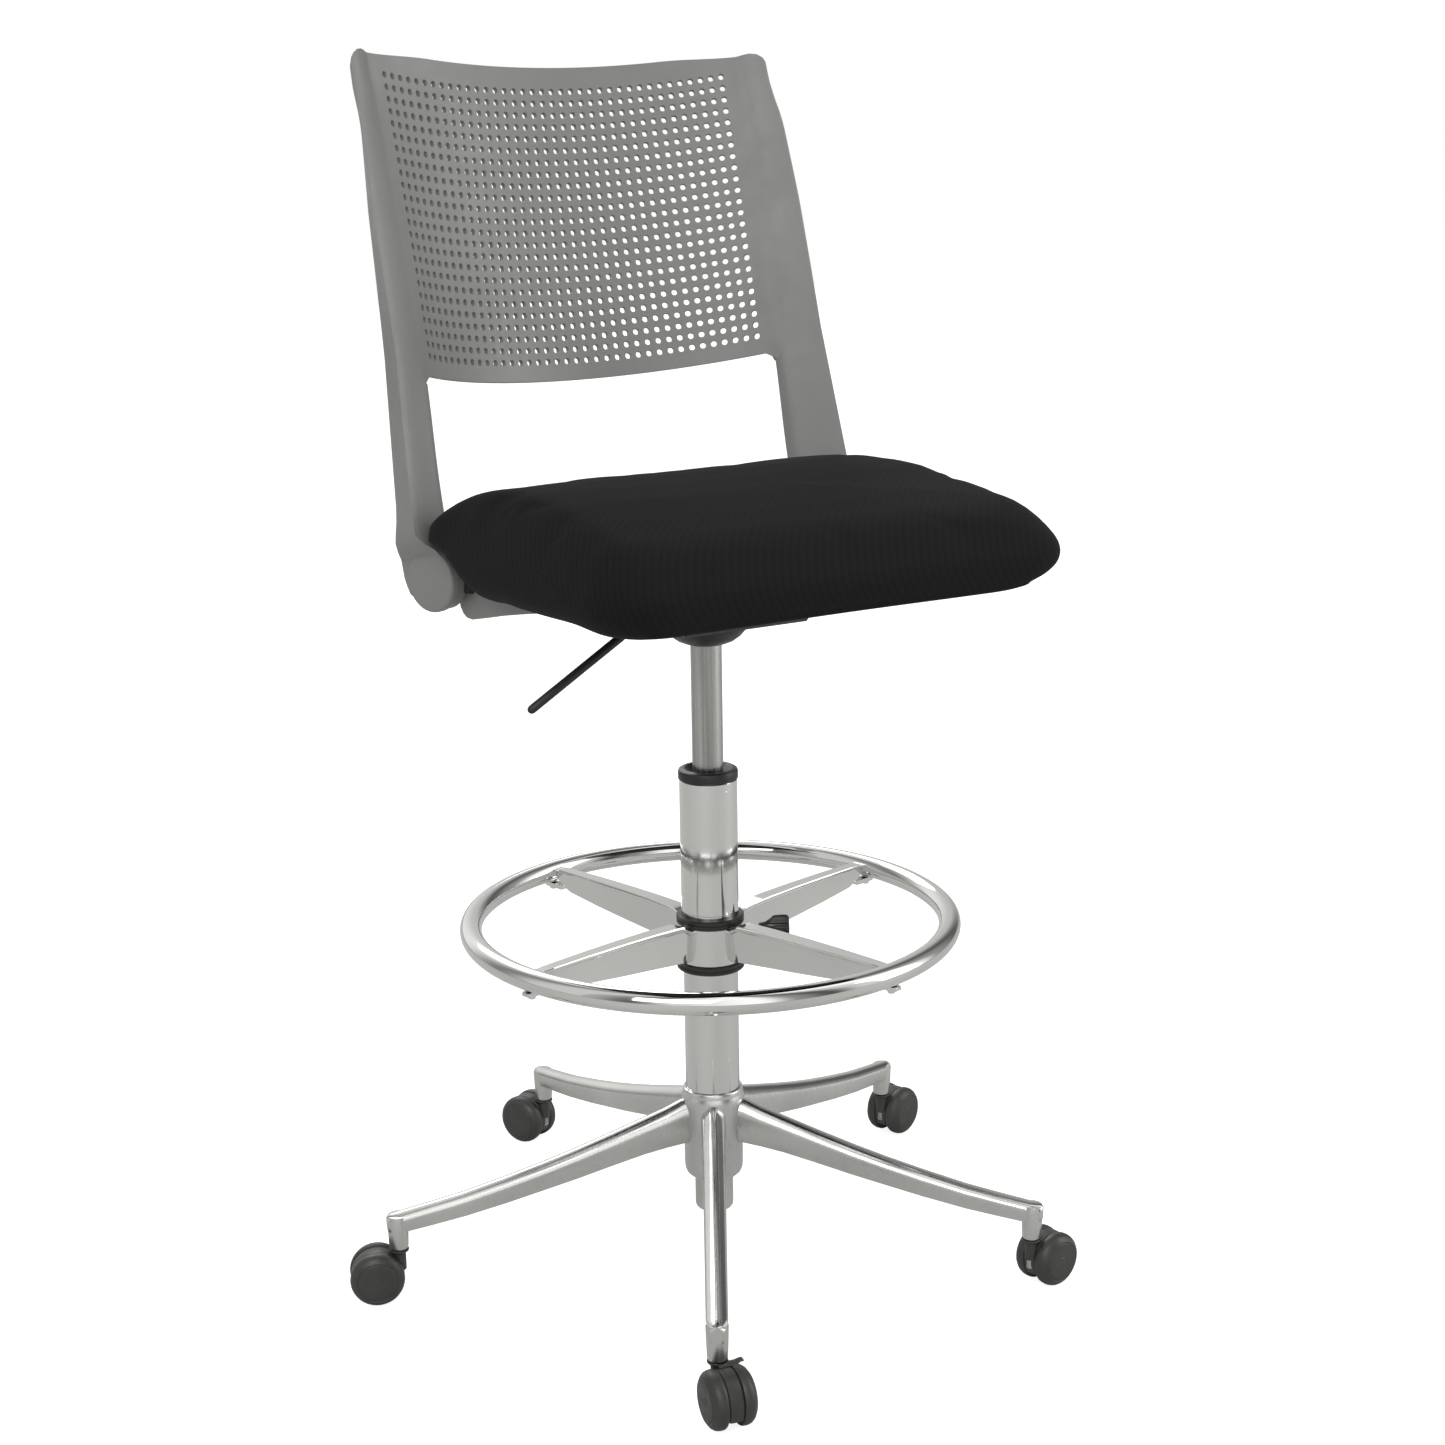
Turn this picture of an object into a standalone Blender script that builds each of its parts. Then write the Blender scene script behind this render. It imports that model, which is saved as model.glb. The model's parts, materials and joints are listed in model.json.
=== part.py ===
"""Drafting chair: five-star base on casters, gas-lift column with a foot ring,
upholstered seat with a reclining moulded back.  Metres, +Z up, the chair faces -Y."""

import math

import bmesh
import bpy
from mathutils import Matrix, Vector

MM = 0.001
GAP = 0.3 * MM                      # clearance between touching pieces

# ---- driving dimensions -------------------------------------------------
COLUMN_XY = (6.3 * MM, -22.2 * MM)  # column axis; the overall box is centred on the origin

WHEEL_R = 24.5 * MM
WHEEL_T = 12.0 * MM                 # thickness of one wheel
WHEEL_HUB_R = 5.6 * MM              # the twin wheels share one hub tube through the housing
AXLE_R = 3.0 * MM
HOOD_HALF = 6.2 * MM                # half thickness of the caster housing
CASTER_TRAIL = 20.5 * MM
CASTER_TRAIL_DIR = (259.0, 7.0, 18.0, 115.0, 157.0)    # rolling direction of each caster, degrees
BASE_R = 300.0 * MM                 # column axis to caster axis
BASE_FIRST_LEG = -122.0             # direction of the front leg, degrees
LEG_COUNT = 5
SOCKET_Z = 48.3 * MM
SOCKET_R = 9.5 * MM
CASTER_PIN_R = 4.0 * MM

HUB_TOP = 156.0 * MM
HUB_BOTTOM = 80.0 * MM
HUB_R = 27.5 * MM
COLUMN_R = 25.0 * MM
COLUMN_WALL = 1.8 * MM
COLUMN_TOP = 457.0 * MM
SLEEVE_R = 26.2 * MM
SLEEVE_BOTTOM = 334.0 * MM
COLLAR_TOP = 467.0 * MM

STEM_R = 14.0 * MM
STEM_BOTTOM = 255.0 * MM
STEM_TOP = 608.0 * MM
ROD_R = 5.0 * MM
PISTON_Z = 412.0 * MM

RING_Z = 324.0 * MM
RING_R = 217.5 * MM
RING_TUBE_R = 9.9 * MM
RING_HUB_R = 29.0 * MM
RING_HUB_Z = (287.0 * MM, 322.0 * MM)
SPOKE_COUNT = 4
FIRST_SPOKE = 13.0                  # direction of the first spoke, degrees
KNOB_DIR = -32.0
KNOB_Z = 314.0 * MM

BLOCK_Z = (604.0 * MM, 630.0 * MM)
PAN_Z = (633.0 * MM, 641.0 * MM)
SCREW_PLACES = ((-50 * MM, 40 * MM), (50 * MM, 40 * MM))
LEVER_PIVOT = Vector((-35.0 * MM, 0.0, 621.0 * MM))
LEVER_R = 3.75 * MM

SEAT_HALF_W = 231.0 * MM
SEAT_FRONT = -243.0 * MM
SEAT_BACK = 122.0 * MM

PIVOT_Y = 115.0 * MM                # recline hinge
PIVOT_Z = 643.0 * MM
HINGE_PIN_R = 5.0 * MM
CAP_R = 28.0 * MM
CAP_X = 212.0 * MM                  # centre of a hinge cover, at the foot of the upright
CAP_T = 9.0 * MM
CAP_TURN = 18.7                     # the covers face outwards and a little forwards, degrees

PANEL_TOP_Z = 1096.0 * MM
PANEL_BOTTOM_Z = 814.0 * MM
SIDE_Y_AT_PANEL = 206.5 * MM        # side line of the back at the middle of the panel
PANEL_MID_Z = 952.5 * MM
SIDE_LEAN = 0.2564                  # rearward run per unit of height of the side line
ARC_HALF_W = 176.0 * MM             # half chord at which the side line and the sagitta are given
PANEL_HALF_W = 187.0 * MM           # where the panel ends and the uprights start
PANEL_T = 5.0 * MM


# ---- materials ----------------------------------------------------------
def material(name, rgb, rough, metal=0.0):
    mat = bpy.data.materials.new(name)
    mat.use_nodes = True
    shader = mat.node_tree.nodes["Principled BSDF"]
    shader.inputs["Base Color"].default_value = (*rgb, 1.0)
    shader.inputs["Roughness"].default_value = rough
    shader.inputs["Metallic"].default_value = metal
    return mat


FINISHES = {
    "aluminium": ((0.62, 0.62, 0.60), 0.25, 1.0),
    "chrome": ((0.78, 0.78, 0.76), 0.10, 1.0),
    "steel": ((0.45, 0.45, 0.43), 0.30, 1.0),
    "black": ((0.015, 0.015, 0.014), 0.45, 0.0),
    "caster_black": ((0.045, 0.047, 0.042), 0.50, 0.0),
    "grey_plastic": ((0.22, 0.23, 0.21), 0.55, 0.0),
    "fabric": ((0.014, 0.014, 0.014), 0.95, 0.0),
}


# ---- shape helpers ------------------------------------------------------
def clear_scene():
    for old in list(bpy.data.objects):
        bpy.data.objects.remove(old, do_unlink=True)


def make_object(name, bm, finish, centre=(0.0, 0.0, 0.0), smooth=True):
    """Close the bmesh into an object whose origin is at centre, under the column empty."""
    bmesh.ops.remove_doubles(bm, verts=bm.verts, dist=1e-6)
    bmesh.ops.recalc_face_normals(bm, faces=bm.faces)
    bmesh.ops.translate(bm, verts=bm.verts, vec=-Vector(centre))
    mesh = bpy.data.meshes.new(name)
    bm.to_mesh(mesh)
    bm.free()
    if smooth:
        mesh.shade_smooth()
        mesh.set_sharp_from_angle(angle=math.radians(40))
    obj = bpy.data.objects.new(name, mesh)
    obj.location = centre
    obj.parent = COLUMN
    bpy.context.collection.objects.link(obj)
    if finish:
        mesh.materials.append(material(name, *FINISHES[finish]))
    return obj


def turn(profile, segments=32):
    """Turn a closed profile of (radius, height) about Z; points at radius 0 close on the axis."""
    bm = bmesh.new()
    on_axis = any(r < 1e-7 for r, _ in profile)
    verts = [bm.verts.new((r, 0.0, z)) for r, z in profile]
    edges = [bm.edges.new(pair) for pair in zip(verts, verts[1:])]
    if not on_axis:
        edges.append(bm.edges.new((verts[-1], verts[0])))
    bmesh.ops.spin(bm, geom=verts + edges, cent=(0, 0, 0), axis=(0, 0, 1),
                   angle=math.tau, steps=segments, use_merge=True)
    bmesh.ops.remove_doubles(bm, verts=bm.verts, dist=1e-6)
    return bm


def ring_profile(inner, outer, low, high, chamfer=0.0):
    c = chamfer
    if c == 0.0:
        return [(inner, low), (outer, low), (outer, high), (inner, high)]
    return [(inner, low), (outer - c, low), (outer, low + c),
            (outer, high - c), (outer - c, high), (inner, high)]


def disc_profile(radius, low, high, chamfer=0.0):
    c = chamfer
    if c == 0.0:
        return [(0.0, low), (radius, low), (radius, high), (0.0, high)]
    return [(0.0, low), (radius - c, low), (radius, low + c),
            (radius, high - c), (radius - c, high), (0.0, high)]


def point_z_to(direction):
    """Rotation that carries +Z to the given direction."""
    return Vector((0, 0, 1)).rotation_difference(Vector(direction)).to_matrix().to_4x4()


def place(bm, matrix):
    bmesh.ops.transform(bm, matrix=matrix, verts=bm.verts)
    return bm


def spun_at(profile, where, direction=(0, 0, 1), segments=24):
    bm = turn(profile, segments)
    return place(bm, Matrix.Translation(Vector(where)) @ point_z_to(direction))


def block(low, high, bevel=0.0, segments=2):
    bm = bmesh.new()
    bmesh.ops.create_cube(bm, size=1.0)
    low, high = Vector(low), Vector(high)
    size = high - low
    bmesh.ops.scale(bm, vec=size, verts=bm.verts)
    bmesh.ops.translate(bm, vec=(low + high) / 2, verts=bm.verts)
    if bevel:
        bmesh.ops.bevel(bm, geom=bm.edges[:], offset=bevel, segments=segments,
                        affect='EDGES', profile=0.5, material=-1)
    return bm


def extrude_outline(points, depth_vec):
    bm = bmesh.new()
    face = bm.faces.new([bm.verts.new(p) for p in points])
    made = bmesh.ops.extrude_face_region(bm, geom=[face])
    top = [v for v in made["geom"] if isinstance(v, bmesh.types.BMVert)]
    bmesh.ops.translate(bm, vec=depth_vec, verts=top)
    return bm


def loft(sections):
    """Skin a row of equal-sized closed sections and cap both ends."""
    bm = bmesh.new()
    rows = [[bm.verts.new(p) for p in section] for section in sections]
    count = len(rows[0])
    for low, high in zip(rows, rows[1:]):
        for i in range(count):
            j = (i + 1) % count
            bm.faces.new((low[i], low[j], high[j], high[i]))
    bm.faces.new(rows[0])
    bm.faces.new(rows[-1])
    return bm


def cutter(name, bm):
    obj = make_object(name, bm, None, smooth=False)
    obj.hide_render = True
    obj.display_type = 'WIRE'
    return obj


def combine(obj, other, operation):
    mod = obj.modifiers.new(other.name, 'BOOLEAN')
    mod.operation = operation
    mod.solver = 'EXACT'
    mod.object = other


def cut(obj, name, bm):
    combine(obj, cutter(name, bm), 'DIFFERENCE')


def add(obj, name, bm):
    combine(obj, cutter(name, bm), 'UNION')


def heading(degrees):
    return Vector((math.cos(math.radians(degrees)), math.sin(math.radians(degrees)), 0.0))


# ---- base ---------------------------------------------------------------
def leg_section(reach, half, low, high, along, across):
    """Cross-section of a leg: flat drafted sides under a rounded ridge."""
    outline = [(-0.82, 0.0), (0.82, 0.0), (1.0, 0.62), (0.80, 0.88),
               (0.38, 1.0), (-0.38, 1.0), (-0.80, 0.88), (-1.0, 0.62)]
    return [along * reach + across * (half * a) + Vector((0, 0, low + (high - low) * b))
            for a, b in outline]


def leg(direction):
    along = heading(direction)
    across = heading(direction + 90)
    stations = ((18, 11.0, 106, 148), (60, 10.6, 104, 136), (110, 10.2, 94, 122),
                (165, 9.8, 82, 108), (230, 9.5, 72, 95.5), (296, 9.3, 66, 84))
    return loft([leg_section(r * MM, w * MM, z0 * MM, z1 * MM, along, across)
                 for r, w, z0, z1 in stations])


def make_star_base():
    hub = [(COLUMN_R + GAP, HUB_BOTTOM), (HUB_R - 2 * MM, HUB_BOTTOM), (HUB_R - 0.5 * MM, 82 * MM),
           (HUB_R - 0.5 * MM, 106 * MM), (HUB_R + 1.5 * MM, 120 * MM), (HUB_R + 1.5 * MM, 147 * MM),
           (HUB_R, 152 * MM), (HUB_R, HUB_TOP), (COLUMN_R + GAP, HUB_TOP)]
    base = make_object("star_base", turn(hub, 28), "aluminium")
    for k in range(LEG_COUNT):
        direction = BASE_FIRST_LEG + 72.0 * k
        tip = heading(direction) * BASE_R
        add(base, f"leg_{k + 1}_shape", leg(direction))
        socket = spun_at(disc_profile(SOCKET_R, SOCKET_Z, 81.5 * MM, 1.5 * MM), tip, segments=16)
        add(base, f"socket_{k + 1}_shape", socket)
    bore = spun_at(disc_profile(COLUMN_R + GAP, HUB_BOTTOM - MM, HUB_TOP + MM), (0, 0, 0), segments=28)
    cut(base, "column_bore_cut", bore)
    for k in range(LEG_COUNT):
        tip = heading(BASE_FIRST_LEG + 72.0 * k) * BASE_R
        hole = spun_at(disc_profile(CASTER_PIN_R + 1.3 * MM, SOCKET_Z - 5 * MM, 74 * MM), tip, segments=12)
        cut(base, f"caster_hole_{k + 1}_cut", hole)


def make_caster(index):
    direction = BASE_FIRST_LEG + 72.0 * index
    foot = heading(direction) * BASE_R
    roll = heading(CASTER_TRAIL_DIR[index])
    axle_dir = heading(CASTER_TRAIL_DIR[index] + 90)
    centre = foot + roll * CASTER_TRAIL + Vector((0, 0, WHEEL_R))
    tag = f"_{index + 1}"

    pin = [(0, 19 * MM), (CASTER_PIN_R, 19 * MM), (CASTER_PIN_R, 48 * MM), (CASTER_PIN_R + MM, 49 * MM),
           (CASTER_PIN_R + MM, 71 * MM), (CASTER_PIN_R, 73 * MM), (0, 73 * MM)]
    make_object("caster_pin" + tag, spun_at(pin, foot, segments=12), "steel", foot)

    hood_r = WHEEL_R - 1.2 * MM
    outline = [centre + roll * (hood_r * math.cos(a)) + Vector((0, 0, hood_r * math.sin(a)))
               for a in [math.radians(d) for d in range(-24, 205, 19)]]
    outline += [centre + roll * (-15 * MM) + Vector((0, 0, -11 * MM)),
                centre + roll * (-4 * MM) + Vector((0, 0, -8 * MM)),
                centre + roll * (12 * MM) + Vector((0, 0, -13 * MM))]
    shifted = [p - axle_dir * HOOD_HALF for p in outline]
    hood = make_object("caster_hood" + tag, extrude_outline(shifted, axle_dir * (2 * HOOD_HALF)),
                       "caster_black", foot)
    neck, collar = HOOD_HALF - 0.2 * MM, SOCKET_R - 0.8 * MM
    boss = [(0, 30 * MM), (neck, 30 * MM), (neck, 45 * MM), (collar, 45.5 * MM), (collar, SOCKET_Z - GAP),
            (0, SOCKET_Z - GAP)]
    add(hood, "caster_boss_shape" + tag, spun_at(boss, foot, segments=16))
    cut(hood, "swivel_bore_cut" + tag,
        spun_at(disc_profile(CASTER_PIN_R + GAP, 18 * MM, 60 * MM), foot, segments=12))
    cut(hood, "axle_bore_cut" + tag,
        spun_at(disc_profile(WHEEL_HUB_R + GAP, -10 * MM, 10 * MM), centre, axle_dir, segments=16))
    if index == 0:
        tab = block((6 * MM, -4 * MM, 45.6 * MM), (19 * MM, 4 * MM, 47.9 * MM))
        turn_tab = Matrix.Translation(foot) @ Matrix.Rotation(math.radians(CASTER_TRAIL_DIR[0] + 90), 4, 'Z')
        add(hood, "brake_tab_shape", place(tab, turn_tab))

    half, far = HOOD_HALF + 0.6 * MM, HOOD_HALF + 0.6 * MM + WHEEL_T
    rim = [(WHEEL_R - 1.5 * MM, half), (WHEEL_R, half + 1.5 * MM), (WHEEL_R, half + 6 * MM),
           (WHEEL_R - 2.5 * MM, half + 10 * MM), (WHEEL_R - 6 * MM, far), (AXLE_R + GAP, far)]
    wheels = [(WHEEL_HUB_R, half)] + rim + [(r, -x) for r, x in reversed(rim)] + [(WHEEL_HUB_R, -half)]
    make_object("caster_wheels" + tag, spun_at(wheels, centre, axle_dir, 20), "caster_black", centre)
    reach = far - MM
    make_object("caster_axle" + tag, spun_at(disc_profile(AXLE_R, -reach, reach), centre, axle_dir, 10),
                "steel", centre)


# ---- column -------------------------------------------------------------
def make_column():
    inner = COLUMN_R - COLUMN_WALL
    tube = [(ROD_R + 1.5 * MM, 84 * MM), (COLUMN_R, 84 * MM), (COLUMN_R, COLUMN_TOP),
            (inner, COLUMN_TOP), (inner, 90 * MM), (ROD_R + 1.5 * MM, 90 * MM)]
    make_object("column_tube", turn(tube, 28), "chrome")
    sleeve = ring_profile(COLUMN_R + GAP, SLEEVE_R, SLEEVE_BOTTOM, COLUMN_TOP)
    body = make_object("column_sleeve", turn(sleeve, 28), "chrome")
    pin_dir = heading(-80)
    cut(body, "sleeve_pin_cut", spun_at(disc_profile(2.3 * MM, 20 * MM, 30 * MM), (0, 0, 449 * MM), pin_dir, 10))
    make_object("sleeve_pin", spun_at(disc_profile(2.0 * MM, COLUMN_R + GAP, SLEEVE_R + 0.5 * MM),
                                      (0, 0, 449 * MM), pin_dir, 10), "chrome")
    collar = COLUMN_TOP + GAP
    bush = [(STEM_R + GAP, 405 * MM), (inner - GAP, 405 * MM), (inner - GAP, collar), (SLEEVE_R, collar),
            (SLEEVE_R, COLLAR_TOP - 1.5 * MM), (SLEEVE_R - 1.5 * MM, COLLAR_TOP),
            (SLEEVE_R - 5 * MM, COLLAR_TOP), (STEM_R + 3 * MM, COLLAR_TOP - 5 * MM),
            (STEM_R + GAP, COLLAR_TOP - 5 * MM)]
    make_object("guide_bush", turn(bush, 28), "black")
    plug = [(0, 46 * MM), (15.5 * MM, 46 * MM), (17 * MM, 48 * MM), (17 * MM, HUB_BOTTOM - GAP), (0, HUB_BOTTOM - GAP)]
    make_object("column_end_plug", turn(plug, 20), "aluminium")
    make_object("thrust_race_lower", turn(ring_profile(ROD_R + 1.5 * MM, 15 * MM, 90.3 * MM, 92 * MM), 24), "steel")


def make_spindle():
    rod = [(0, 80.6 * MM), (3.2 * MM, 80.6 * MM), (3.2 * MM, 82.4 * MM), (ROD_R, 82.4 * MM),
           (ROD_R, PISTON_Z - GAP), (0, PISTON_Z - GAP)]
    make_object("piston_rod", turn(rod, 16), "steel")
    make_object("piston", turn(disc_profile(11.0 * MM, PISTON_Z, PISTON_Z + 10 * MM, MM), 20), "black")
    make_object("thrust_cage", turn(ring_profile(ROD_R + GAP, 14 * MM, 92.3 * MM, 95 * MM), 24), "black")
    make_object("thrust_race_upper", turn(ring_profile(ROD_R + GAP, 15 * MM, 95.3 * MM, 97 * MM), 24), "steel")
    make_object("rod_buffer", turn(ring_profile(ROD_R + GAP, 11 * MM, 97.3 * MM, 125 * MM, 2 * MM), 20), "black")
    make_object("rod_clip", turn(ring_profile(3.5 * MM, 9 * MM, 80.8 * MM, 82.1 * MM), 16), "steel")


# ---- foot ring ----------------------------------------------------------
def spoke(direction):
    along = heading(direction)
    across = heading(direction + 90)
    profile = [(-0.55, 0.0), (0.55, 0.0), (0.55, 0.78), (1.0, 0.84), (1.0, 1.0), (-1.0, 1.0),
               (-1.0, 0.84), (-0.55, 0.78)]
    stations = ((26, 8.0, 290, 320), (32, 8.0, 290.5, 321.5), (42, 7.8, 292, 328), (110, 6.8, 299, 330),
                (150, 6.2, 303.5, 330.3), (190, 5.8, 309, 330), (207.2, 5.6, 317, 329.5))
    rows = []
    for r, w, z0, z1 in stations:
        rows.append([along * (r * MM) + across * (w * MM * a) + Vector((0, 0, (z0 + (z1 - z0) * b) * MM))
                     for a, b in profile])
    return loft(rows)


def make_foot_ring():
    bm = turn([(RING_R + RING_TUBE_R * math.cos(a), RING_Z + RING_TUBE_R * math.sin(a))
               for a in [math.tau * i / 10 for i in range(10)]], 48)
    make_object("ring_tube", bm, "chrome")
    low, high = RING_HUB_Z
    bore = COLUMN_R + 1.6 * MM
    hub = make_object("ring_spider", turn(ring_profile(bore, RING_HUB_R, low, high, MM), 28), "chrome")
    for k in range(SPOKE_COUNT):
        direction = FIRST_SPOKE + 90 * k
        add(hub, f"spoke_{k + 1}_shape", spoke(direction))
        lug_top = RING_Z - RING_TUBE_R - GAP
        lug = block((198 * MM, -5 * MM, lug_top - 4 * MM), (224 * MM, 5 * MM, lug_top))
        add(hub, f"lug_{k + 1}_shape", place(lug, Matrix.Rotation(math.radians(direction), 4, 'Z')))
    cut(hub, "hub_bore_cut", spun_at(disc_profile(bore, low - MM, high + MM), (0, 0, 0), segments=28))
    knob_dir = heading(KNOB_DIR)
    cut(hub, "clamp_bore_cut", spun_at(disc_profile(4.3 * MM, 20 * MM, 34 * MM), (0, 0, KNOB_Z), knob_dir, 12))
    for name, a, b in (("ring_bush_upper", high + GAP, high + 8.5 * MM),
                       ("ring_bush_lower", low - 8.0 * MM, low - GAP)):
        make_object(name, turn(ring_profile(COLUMN_R + GAP, 31 * MM, a, b, 1.2 * MM), 28), "black")

    screw = disc_profile(4.0 * MM, COLUMN_R + 0.4 * MM, 45 * MM)
    make_object("clamp_screw", spun_at(screw, (0, 0, KNOB_Z), knob_dir, 12), "steel", (0, 0, KNOB_Z))
    lobes = 5
    ring = [9.5 * MM + 2.6 * MM * math.cos(lobes * a) for a in [math.tau * i / 30 for i in range(30)]]
    rows = []
    for depth, scale in ((44, 0.62), (47, 0.78), (64, 1.08), (70, 1.05), (72, 0.92)):
        rows.append([Vector((r * scale * math.cos(math.tau * i / 30), r * scale * math.sin(math.tau * i / 30),
                             depth * MM)) for i, r in enumerate(ring)])
    knob_bm = place(loft(rows), Matrix.Translation((0, 0, KNOB_Z)) @ point_z_to(knob_dir))
    knob = make_object("clamp_knob", knob_bm, "black", (0, 0, KNOB_Z))
    cut(knob, "knob_socket_cut", spun_at(disc_profile(4.3 * MM, 40 * MM, 52 * MM), (0, 0, KNOB_Z), knob_dir, 12))


# ---- gas cylinder and mechanism ----------------------------------------
def make_gas_cylinder():
    inner = 11.6 * MM
    pin_bore = 3.4 * MM
    cylinder = [(pin_bore, STEM_TOP), (STEM_R - MM, STEM_TOP), (STEM_R, STEM_TOP - 20 * MM),
                (STEM_R, STEM_BOTTOM), (inner, STEM_BOTTOM), (inner, STEM_TOP - 30 * MM),
                (pin_bore, STEM_TOP - 30 * MM)]
    make_object("gas_cylinder", turn(cylinder, 24), "steel")
    make_object("rod_guide", turn(ring_profile(ROD_R + GAP, inner - GAP, STEM_BOTTOM + MM, STEM_BOTTOM + 14 * MM), 20),
                "black")
    make_object("release_pin", turn(disc_profile(3.0 * MM, STEM_TOP - 36 * MM, 616.8 * MM, 0.8 * MM), 12), "steel")


def make_mechanism():
    low, high = BLOCK_Z
    body = make_object("mechanism_block", block((-65 * MM, -70 * MM, low), (65 * MM, 80 * MM, high), 3 * MM, 1),
                       "black", smooth=False)
    cut(body, "stem_bore_cut", turn(disc_profile(STEM_R + 0.5 * MM, low - MM, high + MM), 24))
    bend = block((-81 * MM, -14 * MM, low + 3 * MM), (-42 * MM, 4 * MM, high - 3.5 * MM))
    add(body, "carrier_shape", block((-150 * MM, -50 * MM, high - 6 * MM), (150 * MM, 62 * MM, high)))
    channel = block((-80 * MM, -5 * MM, low + 4 * MM), (18 * MM, 5 * MM, high - 3 * MM))
    cut(body, "lever_channel_cut", channel)
    cut(body, "lever_bend_cut", bend)
    pivot_bore = spun_at(disc_profile(3.3 * MM, -14 * MM, 14 * MM), LEVER_PIVOT, (0, 1, 0), 12)
    cut(body, "lever_pivot_cut", pivot_bore)
    for n, (x, y) in enumerate(SCREW_PLACES):
        cut(body, f"block_screw_{n}_cut", spun_at(disc_profile(3.9 * MM, low - MM, high + MM), (x, y, 0), segments=14))
    make_object("lever_pivot_pin", spun_at(disc_profile(3.0 * MM, -13 * MM, 13 * MM), LEVER_PIVOT, (0, 1, 0), 12),
                "steel", LEVER_PIVOT)

    dome = [(STEM_R + GAP, 581 * MM), (18 * MM, 581.3 * MM), (25 * MM, 583.5 * MM), (32 * MM, 588.5 * MM),
            (38 * MM, 596 * MM), (41 * MM, 603.6 * MM), (39 * MM, 603.6 * MM), (36 * MM, 597 * MM),
            (30.5 * MM, 590.5 * MM), (24 * MM, 586 * MM), (STEM_R + GAP, 584 * MM)]
    make_object("mechanism_cover", turn(dome, 24), "black")

    for name, (x, y) in zip(("left", "right"), SCREW_PLACES):
        head = [(0, low - 4.5 * MM), (6 * MM, low - 4.5 * MM), (7.5 * MM, low - 3 * MM), (7.5 * MM, low - GAP),
                (3.5 * MM, low - GAP), (3.5 * MM, PAN_Z[1] - MM), (0, PAN_Z[1] - MM)]
        make_object("seat_bolt_" + name, spun_at(head, (x, y, 0), segments=14), "steel", (x, y, low))


def make_lever():
    path = [Vector(p) * MM for p in ((3, 0, 621), (-46, 0, 621), (-62, -5, 618), (-79, -12.5, 610), (-97, -16, 600),
                                     (-140, -16, 575), (-184, -16, 549.3), (-187.5, -16, 547.3))]
    sides = 10
    rows = []
    for i, p in enumerate(path):
        ahead = path[min(i + 1, len(path) - 1)] - path[max(i - 1, 0)]
        tangent = ahead.normalized()
        up = Vector((0, 1, 0)).cross(tangent)
        radius = LEVER_R * (0.55 if i == len(path) - 1 else 1.0)
        rows.append([p + up * (radius * math.cos(math.tau * k / sides))
                     + Vector((0, 1, 0)) * (radius * 1.05 * math.sin(math.tau * k / sides))
                     for k in range(sides)])
    lever = make_object("release_lever", loft(rows), "black", LEVER_PIVOT)
    eye = spun_at(disc_profile(5.6 * MM, -4.2 * MM, 4.2 * MM), LEVER_PIVOT, (0, 1, 0), 16)
    add(lever, "lever_eye_shape", eye)
    cut(lever, "lever_eye_cut", spun_at(disc_profile(3.3 * MM, -8 * MM, 8 * MM), LEVER_PIVOT, (0, 1, 0), 12))


# ---- seat ---------------------------------------------------------------
def seat_outline(scale_x, scale_y, height, dip=0.0):
    """One closed line of the cushion: a squarish superellipse, arched a little from front to back."""
    mid_y = (SEAT_FRONT + SEAT_BACK) / 2
    half_y = (SEAT_BACK - SEAT_FRONT) / 2
    power = 0.42
    points = []
    for i in range(28):
        a = math.tau * i / 28
        cx = math.copysign(abs(math.cos(a)) ** power, math.cos(a))
        sy = math.copysign(abs(math.sin(a)) ** power, math.sin(a))
        x = SEAT_HALF_W * scale_x * cx
        y = mid_y + half_y * scale_y * sy
        run = (y + 30 * MM) / (200 * MM)
        points.append(Vector((x, y, height - dip * run * run)))
    return points


def make_seat():
    pan = make_object("seat_pan", block((-169.6 * MM, -140 * MM, PAN_Z[0]), (169.6 * MM, 88 * MM, PAN_Z[1])),
                      "grey_plastic", smooth=False)
    for n, (x, y) in enumerate(SCREW_PLACES):
        cut(pan, f"pan_screw_{n}_cut",
            spun_at(disc_profile(3.9 * MM, PAN_Z[0] - MM, PAN_Z[1] + MM), (x, y, 0), segments=14))
    bottom = PAN_Z[1] + 0.5 * MM
    layers = [seat_outline(0.80, 0.84, bottom), seat_outline(0.93, 0.94, bottom + 4 * MM),
              seat_outline(0.985, 0.985, bottom + 14 * MM), seat_outline(1.0, 1.0, bottom + 30 * MM, 6 * MM),
              seat_outline(0.995, 0.99, 700 * MM, 18 * MM), seat_outline(0.975, 0.965, 716 * MM, 22 * MM),
              seat_outline(0.93, 0.90, 724 * MM, 22 * MM), seat_outline(0.75, 0.74, 725 * MM, 20 * MM),
              seat_outline(0.4, 0.4, 722 * MM, 10 * MM)]
    cushion = make_object("seat_cushion", loft(layers), "fabric")
    for side, name in ((-1, "left"), (1, "right")):
        for part, near, far, front, top in (("arm", 167, 250, 53, 673), ("spring", 140, 170, 96, 660)):
            xs = sorted((side * near * MM, side * far * MM))
            low, high = (xs[0], front * MM, 600 * MM), (xs[1], 150 * MM, top * MM)
            cut(cushion, f"{part}_room_{name}_cut", block(low, high))


def arc_points(centre_y, centre_z, radius, start, stop, step, x):
    count = round(abs(stop - start) / step)
    return [Vector((x, centre_y + radius * math.cos(math.radians(start + (stop - start) * i / count)),
                    centre_z + radius * math.sin(math.radians(start + (stop - start) * i / count))))
            for i in range(count + 1)]


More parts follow.
